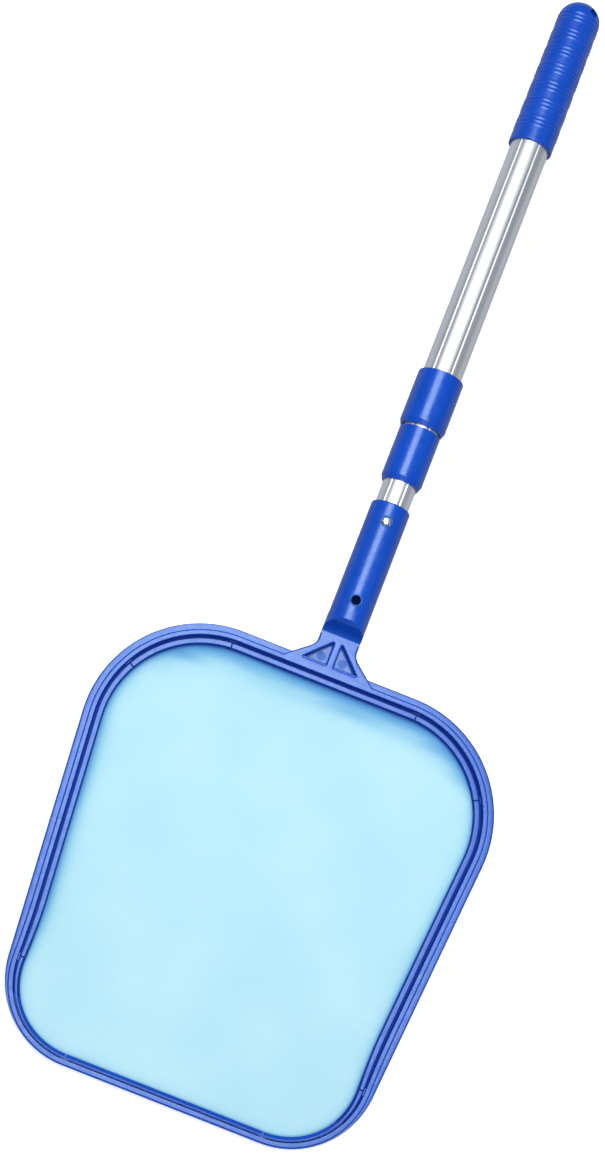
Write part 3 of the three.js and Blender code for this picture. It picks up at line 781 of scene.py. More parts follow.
def drawn_aluminium():
    """Clear anodised tube, with the fine lines that drawing leaves along it."""
    paint = Paint("drawn_aluminium", (0.78, 0.79, 0.83), metallic=0.8, roughness=0.34)
    lines = paint.speckle(0.5 * MM, 2, (1, 0.004, 1))
    broad = paint.speckle(2.4 * MM, 1, (1, 0.01, 1))
    clouds = paint.speckle(16 * MM, 2)
    tone = paint.blend(paint.between(broad, 0, 1), (0.66, 0.68, 0.73), (0.75, 0.765, 0.81))
    paint.set("Base Color", paint.blend(paint.between(clouds, 0, 0.3), tone, (0.76, 0.78, 0.85)))
    paint.set("Roughness", paint.between(lines, 0.33, 0.45))
    paint.bump([(lines, 0.22)], 0.05 * MM)
    return paint.material


def button_steel():
    """Bright plated steel, with a trace of turning round it."""
    paint = Paint("plated_steel", (0.88, 0.89, 0.90), metallic=0.85, roughness=0.2)
    paint.set("Roughness", paint.between(paint.speckle(0.8 * MM), 0.14, 0.3))
    paint.bump([(paint.speckle(0.4 * MM, 2), 0.08)], 0.05 * MM)
    return paint.material


def spring_steel():
    """Dull rolled strip, lined along its length."""
    paint = Paint("rolled_spring_steel", (0.50, 0.50, 0.51), metallic=0.95, roughness=0.35)
    grain = paint.speckle(0.4 * MM, 2, (1, 0.03, 1))
    paint.set("Base Color", paint.blend(grain, (0.42, 0.42, 0.44), (0.58, 0.58, 0.59)))
    paint.set("Roughness", paint.between(grain, 0.28, 0.45))
    paint.bump([(grain, 0.15)], 0.05 * MM)
    return paint.material


def white_nylon():
    """Natural nylon: a warm white with a satin, faintly cloudy skin."""
    paint = Paint("white_nylon", (0.80, 0.79, 0.74), roughness=0.45)
    paint.set("Base Color", paint.blend(paint.speckle(6 * MM), (0.76, 0.75, 0.69), (0.85, 0.84, 0.80)))
    paint.set("Roughness", paint.between(paint.speckle(2 * MM), 0.38, 0.52))
    paint.bump([(paint.speckle(0.6 * MM), 0.12)], 0.08 * MM)
    return paint.material


MESH_OPEN = (0.375, 0.70, 0.79)
MESH_OPEN_DEEP = (0.315, 0.655, 0.765)
# Painted shade: the mesh's colour is raised to the power of its gathered-and-shaded amount, so it turns
# darker and bluer along the held edge.
MESH_PAINTED_SHADE = (0.06, 0.22, 0.55)


def thread_wave(paint, along, pitch):
    """A value from 0 between the threads to 1 on them, along one way of the weave."""
    turns = math_node(paint.tree, "MULTIPLY", along, 1 / pitch)
    away = math_node(paint.tree, "PINGPONG", turns, 0.5)
    return paint.between(away, 0, 1, 0.16, 0.34)


def mesh_cloth():
    """Fine cyan nylon mesh: open between its threads, closer where it is gathered, and darker and bluer
    there with painted shade from the rim.
    """
    paint = Paint("cyan_nylon_mesh", (0.50, 0.80, 0.95), roughness=0.6)
    tree, shader = paint.tree, paint.shader
    placed = tree.nodes.new("ShaderNodeUVMap")
    placed.uv_map = "weave"
    split = tree.nodes.new("ShaderNodeSeparateXYZ")
    tree.links.new(placed.outputs[0], split.inputs[0])
    warp = thread_wave(paint, split.outputs[0], THREAD_PITCH)
    weft = thread_wave(paint, split.outputs[1], THREAD_PITCH)
    threads = math_node(tree, "MAXIMUM", warp, weft)
    gathered_and_shaded = tree.nodes.new("ShaderNodeAttribute")
    gathered_and_shaded.attribute_name = "gathered_and_shaded"
    gather = gathered_and_shaded.outputs["Fac"]
    cloud = paint.between(paint.speckle(60 * MM, 1), 0, 1)
    open_colour = paint.blend(cloud, MESH_OPEN_DEEP, MESH_OPEN)
    # Painted shade from the rim: the colour turns darker and bluer with the gathered-and-shaded amount.
    painted_shade_factor = tree.nodes.new("ShaderNodeCombineXYZ")
    feed(tree, painted_shade_factor, [math_node(tree, "POWER", share, gather) for share in MESH_PAINTED_SHADE])
    painted_shade_colour = tree.nodes.new("ShaderNodeVectorMath")
    painted_shade_colour.operation = "MULTIPLY"
    tree.links.new(open_colour, painted_shade_colour.inputs[0])
    tree.links.new(painted_shade_factor.outputs[0], painted_shade_colour.inputs[1])
    paint.set("Base Color", painted_shade_colour.outputs[0])
    woven = paint.between(threads, 0.30, 0.62, 0, 1)
    cover = math_node(tree, "ADD", woven, math_node(tree, "MULTIPLY", gather, 0.5))
    paint.set("Alpha", math_node(tree, "MINIMUM", cover, 0.97))
    paint.bump([(threads, 0.3)], 0.1 * MM)
    shader.inputs["Specular IOR Level"].default_value = 0.3
    return paint.material


blue_net = blue_moulding("blue_plastic_net", 0.27)
blue_ring = blue_moulding("blue_plastic_ring", 0.29)
blue_collar = blue_moulding("blue_plastic_collar", 0.24)
blue_grip = blue_moulding("blue_plastic_grip", 0.29)
aluminium = drawn_aluminium()
steel = button_steel()
strip_steel = spring_steel()
nylon = white_nylon()
cyan_mesh = mesh_cloth()
mark_and_highlight_blue = satin_mark_and_highlight()
# Painted shade with a painted glow, for steep walls in the groove and the pockets.
painted_shade_glow_material = painted_shade_glow_blue()


def finish_piece(piece, material, body, slot, *nodes, sharp=32):
    """Gives a piece its finish, its body and the CAD nodes it stands for."""
    if material is not None:
        piece.data.materials.clear()
        piece.data.materials.append(material)
    soften(piece, sharp)
    even_shading(piece)
    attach(piece, body)
    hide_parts(*nodes)


# ---- Net head ----

def frame_section(station):
    """The rim's section, from its foot: outer wall, a flat ledge, a raised bead, inner wall and a shelf."""
    band = band_width(station)
    top = rim_height(station)
    ledge = top - LEDGE_DROP
    bead_foot = band - BEAD_WIDTH
    shelf_edge = ring_inset(station) + ring_width(station) + SHELF_REACH
    return filleted([
        (FOOT_CHAMFER, 0, 0.2 * MM),
        (0, FOOT_CHAMFER, 0.3 * MM),
        (0, ledge, OUTER_ROUNDING),
        (bead_foot, ledge - LEDGE_FALL, 0.4 * MM),
        (bead_foot + BEAD_SLOPE, top, 0.4 * MM),
        (band - 0.12 * MM, top, 0.5 * MM),
        (band, top - BEAD_FALL, 0.3 * MM),
        (band + WALL_DRAFT, SHELF_TOP, 0.3 * MM),
        (shelf_edge, SHELF_TOP, 0.3 * MM),
        (shelf_edge, SHELF_TOP - SHELF_THICKNESS, 0.3 * MM),
        (band + FOOT_REACH, 0, 0.3 * MM),
    ])


def snap_blocks(name, middle_inset, z, across, along, up):
    """Blocks at the lug places, each square to the outline."""
    placed = [s for s in stations if s.has_lug]
    points = [s.point + s.inward * middle_inset(s) for s in placed]
    piece = make_object(name, [(p.x, p.y, z) for p in points], [])
    turn = piece.data.attributes.new("turn", "FLOAT", "POINT")
    turn.data.foreach_set("value", [math.atan2(s.inward.y, s.inward.x) for s in placed])
    apply_tree(piece, blocks, {"Across": across, "Along": along, "Up": up, "Material": blue_ring})
    return piece


def curve(start, corner, end, steps=8):
    """Points on a quadratic curve that rounds a corner."""
    shares = [step / steps for step in range(steps + 1)]
    return [start * (1 - t) ** 2 + corner * (2 * t * (1 - t)) + end * t * t for t in shares]


def bracket_outline():
    """The flat bracket from above: straight beside the socket, then flaring onto the rim's ledge."""
    corner_y = rim_back_y + FLARE_SLOPE * (BRACKET_HALF_WIDTH - socket_radius)
    bead_foot = BAND_BACK - BEAD_WIDTH
    front_y = rim_back_y - BAND_BACK + BEAD_SLOPE
    side = [Vector((BRACKET_HALF_WIDTH + bead_foot, front_y)),
            Vector((BRACKET_HALF_WIDTH + bead_foot, rim_back_y - bead_foot))]
    start = Vector((socket_radius + FLARE_FILLET, corner_y - FLARE_SLOPE * FLARE_FILLET))
    corner = Vector((socket_radius, corner_y))
    end = Vector((socket_radius, corner_y + FLARE_FILLET))
    side += curve(start, corner, end)
    side.append(Vector((socket_radius, nose_foot_y + 2 * NOSE_RUN)))
    return side + [Vector((-p.x, p.y)) for p in reversed(side)]


def pocket_outline(side):
    """One triangular pocket, clockwise from above."""
    inner, outer = CENTRE_RIB / 2, BRACKET_HALF_WIDTH - POCKET_WALL
    base_y = rim_back_y - POCKET_OVER_RIM
    corners = [
        (inner, base_y, 0.6 * MM),
        (inner, nose_foot_y - NOSE_WALL, 0.5 * MM),
        (outer, base_y, 0.5 * MM),
    ]
    if side < 0:
        corners = [(-x, y, r) for x, y, r in reversed(corners)]
    return filleted(corners)


def socket_barrel():
    """The socket as a plain barrel with a rounded mouth and its nose cut on a slant."""
    tail_y = nose_foot_y - SOCKET_TAIL
    profile = [(0, tail_y), (socket_radius, tail_y)]
    for step in range(7):
        angle = step / 6 * math.pi / 2
        radius = socket_radius - SOCKET_MOUTH_ROUNDING * (1 - math.cos(angle))
        profile.append((radius, socket_mouth_y - SOCKET_MOUTH_ROUNDING * (1 - math.sin(angle))))
    profile.append((0, socket_mouth_y))
    barrel = turned("socket_barrel", profile, 128)
    cut(barrel, nose_cut(tail_y))
    return barrel


def nose_cut(tail_y):
    """The block that takes the slant off the socket's nose, over its foot and round its crest."""
    over = pole_z + socket_radius
    reach = socket_radius + 2 * MM
    foot = Vector((nose_foot_y, RIM_HEIGHT_BACK))
    crest = Vector((nose_foot_y + NOSE_RUN, over))
    side = curve(foot - Vector((NOSE_ROUNDING, 0)), foot, foot.lerp(crest, NOSE_FOOT_SHARE))
    side += curve(foot.lerp(crest, NOSE_CREST_SHARE), crest, crest + Vector((NOSE_ROUNDING, 0)))
    top = over + NOSE_CUT_MARGIN
    side += [(side[-1].x, top), (tail_y - MM, top), (tail_y - MM, RIM_HEIGHT_BACK)]
    points = [(x, y, z) for x in (-reach, reach) for y, z in side]
    count = len(side)
    faces = [list(range(count)), list(range(count, 2 * count))]
    faces += [[i, (i + 1) % count, count + (i + 1) % count, count + i] for i in range(count)]
    return make_object("nose_cut", points, faces)


def ejector_boss(side):
    """The low round mark that an ejector pin leaves on a pocket's floor."""
    floor_z = RIM_HEIGHT_BACK - POCKET_DEPTH - pole_z
    top = floor_z + EJECTOR_RISE
    boss = upright("ejector_boss", [
        (0, floor_z - MM), (EJECTOR_RADIUS, floor_z - MM), (EJECTOR_RADIUS, top - EJECTOR_EDGE),
        (EJECTOR_RADIUS - EJECTOR_EDGE, top), (0, top)], 0, 40)
    boss.data.transform(Matrix.Translation((side * EJECTOR_X, rim_back_y + EJECTOR_FROM_RIM, 0)))
    boss.data.materials.append(mark_and_highlight_blue)
    return boss


def hole_lip(y):
    """A fine raised lip round a hole in the socket's top, following the barrel's curve."""
    points, faces = [], []
    around, section = HOLE_LIP_STEPS, HOLE_LIP_SIDES
    lip_radius = SOCKET_HOLE + HOLE_LIP * HOLE_LIP_SPREAD
    for step in range(around):
        turn = 2 * math.pi * step / around
        out = Vector((math.cos(turn), math.sin(turn), 0))
        x = out.x * lip_radius
        foot = Vector((x, y + out.y * lip_radius, pole_z + math.sqrt(socket_radius ** 2 - x * x)))
        up = Vector((x, 0, foot.z - pole_z)).normalized()
        for corner in range(section):
            angle = 2 * math.pi * corner / section
            points.append(foot + (out * math.cos(angle) + up * math.sin(angle)) * HOLE_LIP)
    for step in range(around):
        for corner in range(section):
            a, b = step * section + corner, step * section + (corner + 1) % section
            c = (step + 1) % around * section
            faces.append([a, b, c + (corner + 1) % section, c + corner])
    lip = make_object("hole_lip", points, faces)
    # The lip's lighter satin blue is a painted highlight round the hole.
    lip.data.materials.append(mark_and_highlight_blue)
    return lip


def at_front(face):
    """Whether a face belongs to the low front of the rim, which light reaches better."""
    return face.center.y < rim_front_y + FRONT_DEPTH


def in_groove(face):
    """Whether a face is part of the rim's inner wall, beside the retaining ring."""
    at_back = face.center.y > rim_back_y - GROOVE_ENDS_BEFORE_BACK
    if abs(face.normal.z) > STEEP_WALL or at_front(face) or at_back:
        return False
    top = mix(RIM_HEIGHT_FRONT, RIM_HEIGHT_BACK, (face.center.y - rim_front_y) / RIM_LENGTH)
    middle = Vector((0, (rim_front_y + rim_back_y) / 2, face.center.z))
    faces_in = (middle - face.center).dot(face.normal) > 0
    return faces_in and SHELF_TOP < face.center.z < top - BEAD_FALL


def in_pocket(face):
    """Whether a face is a wall of one of the bracket's pockets."""
    base_y, tip_y = rim_back_y - POCKET_OVER_RIM, nose_foot_y - NOSE_WALL
    down = (tip_y - face.center.y) / (tip_y - base_y)
    reach = mix(CENTRE_RIB / 2, BRACKET_HALF_WIDTH - POCKET_WALL, down) + MM
    along = -POCKET_END_MARGIN < down < 1 + POCKET_END_MARGIN
    across = CENTRE_RIB / 2 - MM < abs(face.center.x) < reach
    low, high = RIM_HEIGHT_BACK - POCKET_DEPTH, RIM_HEIGHT_BACK - EDGE_ROUNDING
    return along and across and abs(face.normal.z) < STEEP_WALL and low < face.center.z < high


def build_net_frame():
    """Rim, bracket and socket: one moulding."""
    piece = swept_round("net_frame_moulding", frame_section)
    outline = bracket_outline()
    floor_z = RIM_HEIGHT_BACK - POCKET_DEPTH
    join(piece, rounded_plate(
        "bracket_floor", outline, [], BRACKET_UNDERSIDE, floor_z, FINE_EDGE, 1))
    join(piece, rounded_plate(
        "bracket_top", outline, [pocket_outline(1), pocket_outline(-1)],
        floor_z - PLATE_OVERLAP, RIM_HEIGHT_BACK, EDGE_ROUNDING))
    join(piece, socket_barrel())
    bore_end_y = spare_hole_y - BORE_END_PAST_HOLE
    cut(piece, turned("socket_bore", [
        (0, bore_end_y), (SOCKET_BORE, bore_end_y), (SOCKET_BORE, socket_mouth_y - SOCKET_LEAD_IN_DEPTH),
        (SOCKET_BORE + SOCKET_LEAD_IN, socket_mouth_y + MM), (0, socket_mouth_y + MM)], 96))
    cut(piece, upright_pin("button_hole", SOCKET_HOLE, button_y, -PIN_REACH, PIN_REACH))
    cut(piece, upright_pin("spare_hole", SOCKET_HOLE, spare_hole_y, 0, PIN_REACH))
    lug_z = ring_low.z + FLANGE_HEIGHT + LUG_GAP + LUG_HEIGHT / 2
    join(piece, snap_blocks("lugs", band_width, lug_z, LUG_WIDTH, LUG_LENGTH, LUG_HEIGHT))
    piece.data.materials.clear()
    piece.data.materials.append(blue_net)
    piece.data.materials.append(mark_and_highlight_blue)
    for part in (ejector_boss(-1), ejector_boss(1), hole_lip(button_y), hole_lip(spare_hole_y)):
        join(piece, part)
    # Steep walls in the groove and the pockets take painted shade: a darker, faintly glowing blue.
    piece.data.materials.append(painted_shade_glow_material)
    for face in piece.data.polygons:
        if in_groove(face) or in_pocket(face):
            face.material_index = len(piece.data.materials) - 1
    finish_piece(piece, None, "net_head", "blue_plastic", "net_frame")


def build_ring():
    """The ring that snaps in over the mesh's edge: a flange under the lugs and a sloped inner edge."""
    low, high = ring_low.z, ring_high.z

    def section(station):
        outer = ring_inset(station)
        inner = outer + ring_width(station)
        flange = band_width(station) + FLANGE_GAP
        slope = mix(RING_SLOPE_BACK, RING_SLOPE_FRONT, narrowing(station))
        return filleted([
            (flange, low, 0.1 * MM),
            (flange, low + FLANGE_HEIGHT, 0.2 * MM),
            (outer, low + FLANGE_HEIGHT, 0.1 * MM),
            (outer, high, 0.45 * MM),
            (inner - slope, high, 0.5 * MM),
            (inner, high - RING_SLOPE_FALL, 0.4 * MM),
            (inner, low, 0.15 * MM),
        ])

    piece = swept_round("mesh_retaining_ring", section)
    cut(piece, snap_blocks(
        "notches", lambda s: ring_inset(s) + ring_width(s) / 2, high,
        RING_WIDTH_BACK + MM, NOTCH_LENGTH, 2 * NOTCH_DEPTH))
    piece.data.materials.clear()
    piece.data.materials.append(blue_ring)
    # The ring's walls below its top edge, except at the front, take painted shade.
    piece.data.materials.append(painted_shade_glow_material)
    for face in piece.data.polygons:
        face.material_index = int(face.center.z < high - RING_EDGE_DEPTH and not at_front(face))
    finish_piece(piece, None, "net_head", "blue_plastic", "retaining_ring")


def cloth_height(x, y, from_edge):
    """The mesh's height over its held edge: a slack sag, soft creases and gathers near the pole's side."""
    depth = min(from_edge / SAG_REACH, 1.0)
    sag = -CLOTH_SAG * (1 - (1 - depth) ** 2)
    behind = max(0.0, (y - rim_front_y) / RIM_LENGTH)
    spot = Vector((x, y, 0))
    crease = noise.noise(spot * 14) * CREASE_HEIGHT
    crease += noise.noise(spot * 33 + Vector((7, 3, 1))) * FINE_CREASE_HEIGHT
    gather_noise = noise.noise(Vector((x * 22, from_edge * 150, 4)))
    gather = gather_noise * GATHER_HEIGHT * math.exp(-from_edge / GATHER_REACH) * behind ** 2
    settle = min(from_edge / SETTLE_REACH, 1.0)
    return sag + (crease * depth + gather) * settle


def gather_and_shade_share(station, from_edge):
    """How closely the mesh is gathered, which also sets its painted shade: most at the pole's side, less on
    the left and little in front.
    """
    nearness = min(max(1 - station.share / GATHER_AND_SHADE_BACK_SHARE, 0), 1)
    at_back = nearness * nearness * (3 - 2 * nearness)
    at_left = max(0.0, station.inward.x) * (1 - 0.75 * narrowing(station))
    at_right = max(0.0, -station.inward.x)
    strength = max(GATHER_AND_SHADE_BACK * at_back, GATHER_AND_SHADE_LEFT * at_left, GATHER_AND_SHADE_RIGHT * at_right,
                   GATHER_AND_SHADE_LEAST)
    reach = max(GATHER_AND_SHADE_BACK_REACH * at_back, GATHER_AND_SHADE_LEFT_REACH * at_left, GATHER_AND_SHADE_LEAST_REACH)
    along = station.point
    ripple = noise.noise(Vector((along.x * 26, along.y * 26, from_edge * 110)))
    tight = strength * (1 + 0.3 * ripple) * math.exp(-from_edge / reach)
    inside = along + station.inward * from_edge
    # Painted shade streaks, as of folds, a few millimetres in from the back edge.
    fold_shade = noise.noise(Vector((inside.x * 17 + 3, inside.y * 75, 2)))
    fade = at_back * math.exp(-((from_edge - FOLD_SHADE_AT) / FOLD_SHADE_SPREAD) ** 2)
    return min(1.0, tight + FOLD_SHADE_STRENGTH * fade * max(0.0, fold_shade))


def cloth_points(edges, middle, held_z):
    """Rings of points from the held edge to the middle, and how closely the mesh is gathered and painted
    shaded at each.
    """
    points, gathered_and_shaded = [], []
    for row in range(CLOTH_ROWS):
        share = (row / CLOTH_ROWS) ** CLOTH_CROWDING
        for station, edge in zip(stations, edges):
            place = edge.lerp(middle, share)
            from_edge = (place - edge).length * abs((middle - edge).normalized().dot(station.inward))
            past_ring = max(0.0, from_edge - ring_width(station))
            points.append((place.x, place.y, held_z + cloth_height(place.x, place.y, past_ring)))
            gathered_and_shaded.append(gather_and_shade_share(station, past_ring))
    points.append((middle.x, middle.y, held_z + cloth_height(middle.x, middle.y, 1)))
    gathered_and_shaded.append(0)
    return points, gathered_and_shaded


def cloth_faces(count):
    """Quads between the rings of points, and triangles round the middle point."""
    faces = []
    for row in range(CLOTH_ROWS - 1):
        for i in range(count):
            a, b = row * count + i, row * count + (i + 1) % count
            faces.append([a, b, b + count, a + count])
    last, middle = (CLOTH_ROWS - 1) * count, CLOTH_ROWS * count
    faces += [[last + i, last + (i + 1) % count, middle] for i in range(count)]
    return faces


def build_cloth():
    """The mesh cloth: flat under the ring, then sagging a little, with its gathers near the pole's side."""
    edges = [s.point + s.inward * (ring_inset(s) + CLOTH_TUCK) for s in stations]
    middle = Vector((0, (rim_back_y + rim_front_y) / 2))
    held_z = (mesh_high.z + ring_low.z) / 2 - CLOTH_UNDER_RING
    points, gathered_and_shaded = cloth_points(edges, middle, held_z)
    mesh = bpy.data.meshes.new("net_mesh_cloth")
    mesh.from_pydata(points, [], cloth_faces(len(stations)))
    if mesh.polygons[0].normal.z < 0:
        mesh.flip_normals()
    layer = mesh.uv_layers.new(name="weave")
    for loop in mesh.loops:
        x, y, _ = mesh.vertices[loop.vertex_index].co
        layer.data[loop.index].uv = (x, y)
    # How closely the mesh is gathered at each point, which also sets its painted shade.
    attribute = mesh.attributes.new("gathered_and_shaded", "FLOAT", "POINT")
    attribute.data.foreach_set("value", gathered_and_shaded)
    piece = bpy.data.objects.new("net_mesh_cloth", mesh)
    bpy.context.scene.collection.objects.link(piece)
    wall = piece.modifiers.new("thickness", "SOLIDIFY")
    wall.thickness = CLOTH_THICKNESS
    wall.offset = 0
    bake_modifiers(piece)
    finish_piece(piece, cyan_mesh, "net_head", "mesh_fabric", "net_mesh", sharp=60)


# ---- Pole ----

def radius_of(node):
    """A round node's radius, from its height."""
    low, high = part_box(node)
    return (high.z - low.z) / 2


def build_tube(name, node, body, holes=()):
    """A drawn tube with shallow flutes along it, outside and inside."""
    low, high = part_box(node)
    radius = radius_of(node)
    bore = radius - TUBE_WALL
    corners = [(bore, low.y), (radius, low.y), (radius, high.y), (bore, high.y)]
    piece = turned(name, filleted([(r, y, TUBE_LIP) for r, y in corners], 2), TUBE_SIDES)
    apply_tree(piece, flutes, {
        "Count": float(FLUTE_COUNT), "Depth": FLUTE_DEPTH,
        "Width angle": math.radians(FLUTE_ANGLE), "Start angle": math.radians(FLUTE_START),
        "Material": aluminium})
    for y, hole in holes:
        cut(piece, upright_pin("tube_hole", hole, y, -radius - MM, radius + MM))
    finish_piece(piece, aluminium, body, "tube_aluminium", node, sharp=24)


def build_plug(name, node, body, tube_node):
    """A moulded cup that closes a tube's upper end and guides it in the next one."""
    low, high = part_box(node)
    head_radius = radius_of(node)
    skirt = radius_of(tube_node) - TUBE_WALL - FLUTE_DEPTH - PLUG_GAP
    seat_y = high.y - PLUG_HEAD
    inner = skirt - PLUG_WALL
    profile = [
        (0, seat_y), (inner, seat_y), (inner, low.y),
        (skirt - PLUG_LEAD_IN, low.y), (skirt, low.y + MM), (skirt, seat_y),
        (head_radius, seat_y), (head_radius, high.y - PLUG_EDGE),
        (head_radius - PLUG_EDGE, high.y), (0, high.y),
    ]
    piece = turned(name, profile)
    finish_piece(piece, nylon, body, "white_nylon", node)


def measure_lock(place, tube_node, sliding_node):
    """The sizes that the three pieces of a twist lock share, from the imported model's boxes."""
    lock = SimpleNamespace(place=place)
    lock.low, lock.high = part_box(place + "_lock_collar")
    lock.sleeve_low, lock.sleeve_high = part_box(place + "_lock_sleeve")
    lock.clamp_low, lock.clamp_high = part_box(place + "_clamp_ring")
    lock.radius = radius_of(place + "_lock_collar")
    lock.bead_radius = radius_of(place + "_lock_sleeve")
    lock.bead_y = lock.sleeve_low.y + SLEEVE_BEAD_FROM_END
    lock.bead_end_y = lock.bead_y + SLEEVE_BEAD_LENGTH
    lock.sleeve_outer = lock.bead_radius - SLEEVE_BEAD
    lock.sleeve_inner = radius_of(tube_node) + RUNNING_GAP
    lock.bore = lock.sleeve_outer + RUNNING_GAP
    lock.clamp_inner = radius_of(sliding_node) + RUNNING_GAP
    lock.clamp_tip = lock.clamp_inner + CLAMP_TIP_WALL
    return lock


def build_collar(lock, body):
    """The twist collar that shows: a tapered mouth, and a groove inside that runs on the sleeve's bead."""
    groove = lock.bore + SLEEVE_BEAD
    piece = turned(lock.place + "_twist_collar", filleted([
        (lock.clamp_inner, lock.low.y, CRISP_EDGE),
        (lock.radius - COLLAR_TAPER_WIDTH, lock.low.y, COLLAR_LIP_ROUNDING),
        (lock.radius, lock.low.y + COLLAR_TAPER_LENGTH, COLLAR_TAPER_ROUNDING),
        (lock.radius, lock.high.y, (lock.radius - lock.bore) * COLLAR_END_SHARE),
        (lock.bore, lock.high.y, CRISP_EDGE),
        (lock.bore, lock.bead_end_y + RUNNING_GAP, FINE_EDGE),
        (groove, lock.bead_end_y - SLEEVE_BEAD + RUNNING_GAP, FINE_EDGE),
        (groove, lock.bead_y + SLEEVE_BEAD - RUNNING_GAP, FINE_EDGE),
        (lock.bore, lock.bead_y - RUNNING_GAP, FINE_EDGE),
        (lock.bore, lock.clamp_high.y, CRISP_EDGE),
        (lock.clamp_tip + RUNNING_GAP, lock.clamp_low.y - SLEEVE_BEAD, CRISP_EDGE),
        (lock.clamp_inner, lock.clamp_low.y - SLEEVE_BEAD, CRISP_EDGE),
    ], 5), 128)
    finish_piece(piece, blue_collar, body, "blue_plastic", lock.place + "_lock_collar", sharp=24)


def build_sleeve(lock, body):
    """The sleeve inside a collar, with the bead that the collar turns on."""
    piece = turned(lock.place + "_threaded_sleeve", filleted([
        (lock.sleeve_inner, lock.sleeve_low.y, CRISP_EDGE),
        (lock.sleeve_outer, lock.sleeve_low.y, EASED_EDGE),
        (lock.sleeve_outer, lock.bead_y, FINE_EDGE),
        (lock.bead_radius, lock.bead_y + SLEEVE_BEAD, CRISP_EDGE),
        (lock.bead_radius, lock.bead_end_y - SLEEVE_BEAD, CRISP_EDGE),
        (lock.sleeve_outer, lock.bead_end_y, FINE_EDGE),
        (lock.sleeve_outer, lock.sleeve_high.y, EASED_EDGE),
        (lock.sleeve_inner, lock.sleeve_high.y, CRISP_EDGE),
    ]), 96)
    finish_piece(piece, nylon, body, "white_nylon", lock.place + "_lock_sleeve")


def build_clamp(lock, body):
    """The tapered ring that grips the sliding tube, split on one side."""
    piece = turned(lock.place + "_split_ring", filleted([
        (lock.clamp_inner, lock.clamp_low.y, CRISP_EDGE),
        (lock.clamp_tip, lock.clamp_low.y, EASED_EDGE),
        (lock.sleeve_outer, lock.clamp_high.y, EASED_EDGE),
        (lock.clamp_inner, lock.clamp_high.y, CRISP_EDGE),
    ]), 96)
    ends = (lock.clamp_low.y - MM, lock.clamp_high.y + MM)
    heights = (-CLAMP_SPLIT_HALF, CLAMP_SPLIT_HALF)
    points = [(x, y, pole_z + z) for x in (0, lock.radius) for y in ends for z in heights]
    faces = [[0, 1, 3, 2], [4, 5, 7, 6], [0, 1, 5, 4], [2, 3, 7, 6], [0, 2, 6, 4], [1, 3, 7, 5]]
    cut(piece, make_object("ring_split", points, faces))
    finish_piece(piece, nylon, body, "white_nylon", lock.place + "_clamp_ring")


def build_lock(place, tube_node, sliding_node, collar_body, section_body):
    """One twist lock: the collar that shows, and the sleeve and split ring inside it."""
    lock = measure_lock(place, tube_node, sliding_node)
    build_collar(lock, collar_body)
    build_sleeve(lock, section_body)
    build_clamp(lock, section_body)


def grip_profile(mouth_radius, tip_radius):
    """The grip's section: blind bore, rounded mouth, a long slight taper and a domed end."""
    mouth_y, tip_y = grip_low.y, grip_high.y
    dome_y = tip_y - GRIP_DOME
    cap_y = tip_y - GRIP_CAP
    profile = [(0, cap_y), (GRIP_BORE, cap_y), (GRIP_BORE, mouth_y + GRIP_BORE_CHAMFER),
               (GRIP_BORE + GRIP_BORE_CHAMFER, mouth_y)]
    for step in range(GRIP_LIP_STEPS + 1):
        angle = step / GRIP_LIP_STEPS * math.pi / 2
        radius = mouth_radius - GRIP_LIP * (1 - math.sin(angle))
        profile.append((radius, mouth_y + GRIP_LIP * (1 - math.cos(angle))))
    for row in range(1, GRIP_ROWS):
        share = row / GRIP_ROWS
        profile.append((mix(mouth_radius, tip_radius, share), mix(mouth_y + GRIP_LIP, dome_y, share)))
    for step in range(GRIP_DOME_STEPS):
        angle = step / GRIP_DOME_STEPS * math.pi / 2
        profile.append((tip_radius * math.cos(angle), dome_y + GRIP_DOME * math.sin(angle)))
    profile.append((0, tip_y))
    return profile


def build_grip():
    """The grip: a ribbed sleeve with a domed end and a hole to hang it by."""
    tip_y = grip_high.y
    tip_radius = radius_of("outer_tube") + GRIP_CLEARANCE + GRIP_WALL - GRIP_TAPER
    piece = turned("ribbed_grip", grip_profile(tip_radius + GRIP_TAPER, tip_radius), GRIP_SIDES)
    apply_tree(piece, ribs, {
        "Tip": tip_y, "First rib": FIRST_RIB, "Rib pitch": RIB_PITCH, "Rib width": RIB_WIDTH,
        "Rib height": RIB_HEIGHT, "Group pitch": RIB_GROUP_PITCH, "Groups": float(RIB_GROUPS),
        "Ribs per group": float(RIBS_PER_GROUP), "Skin radius": tip_radius - SKIN_DEPTH,
        "Material": blue_grip})
    hole = upright_pin("hang_hole", HANG_HOLE, 0, -30 * MM, 30 * MM)
    turn = Matrix.Rotation(math.radians(90 - HANG_HOLE_TURN), 4, "Y")
    place = Matrix.Translation((0, tip_y - HANG_HOLE_FROM_TIP, pole_z)) @ turn
    hole.data.transform(place @ Matrix.Translation((0, 0, -pole_z)))
    cut(piece, hole)
    finish_piece(piece, blue_grip, "outer_section", "grip_plastic", "grip", sharp=38)


# ---- Locking buttons ----

def build_button(name, node, body, flip):
    """A domed pin with a softened edge."""
    low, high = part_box(node)
    radius = (high.x - low.x) / 2
    near, far = (pole_z - high.z, pole_z - low.z) if flip else (low.z - pole_z, high.z - pole_z)
    shoulder = far - BUTTON_DOME
    profile = [(0, near), (radius, near), (radius, shoulder)]
    for step in range(1, BUTTON_DOME_STEPS):
        angle = step / BUTTON_DOME_STEPS * math.pi / 2
        profile.append((radius * math.cos(angle), shoulder + BUTTON_DOME * math.sin(angle)))
    profile.append((0, far))
    piece = upright(name, profile, button_y, 64, flip)
    finish_piece(piece, steel, body, "button_steel", node)


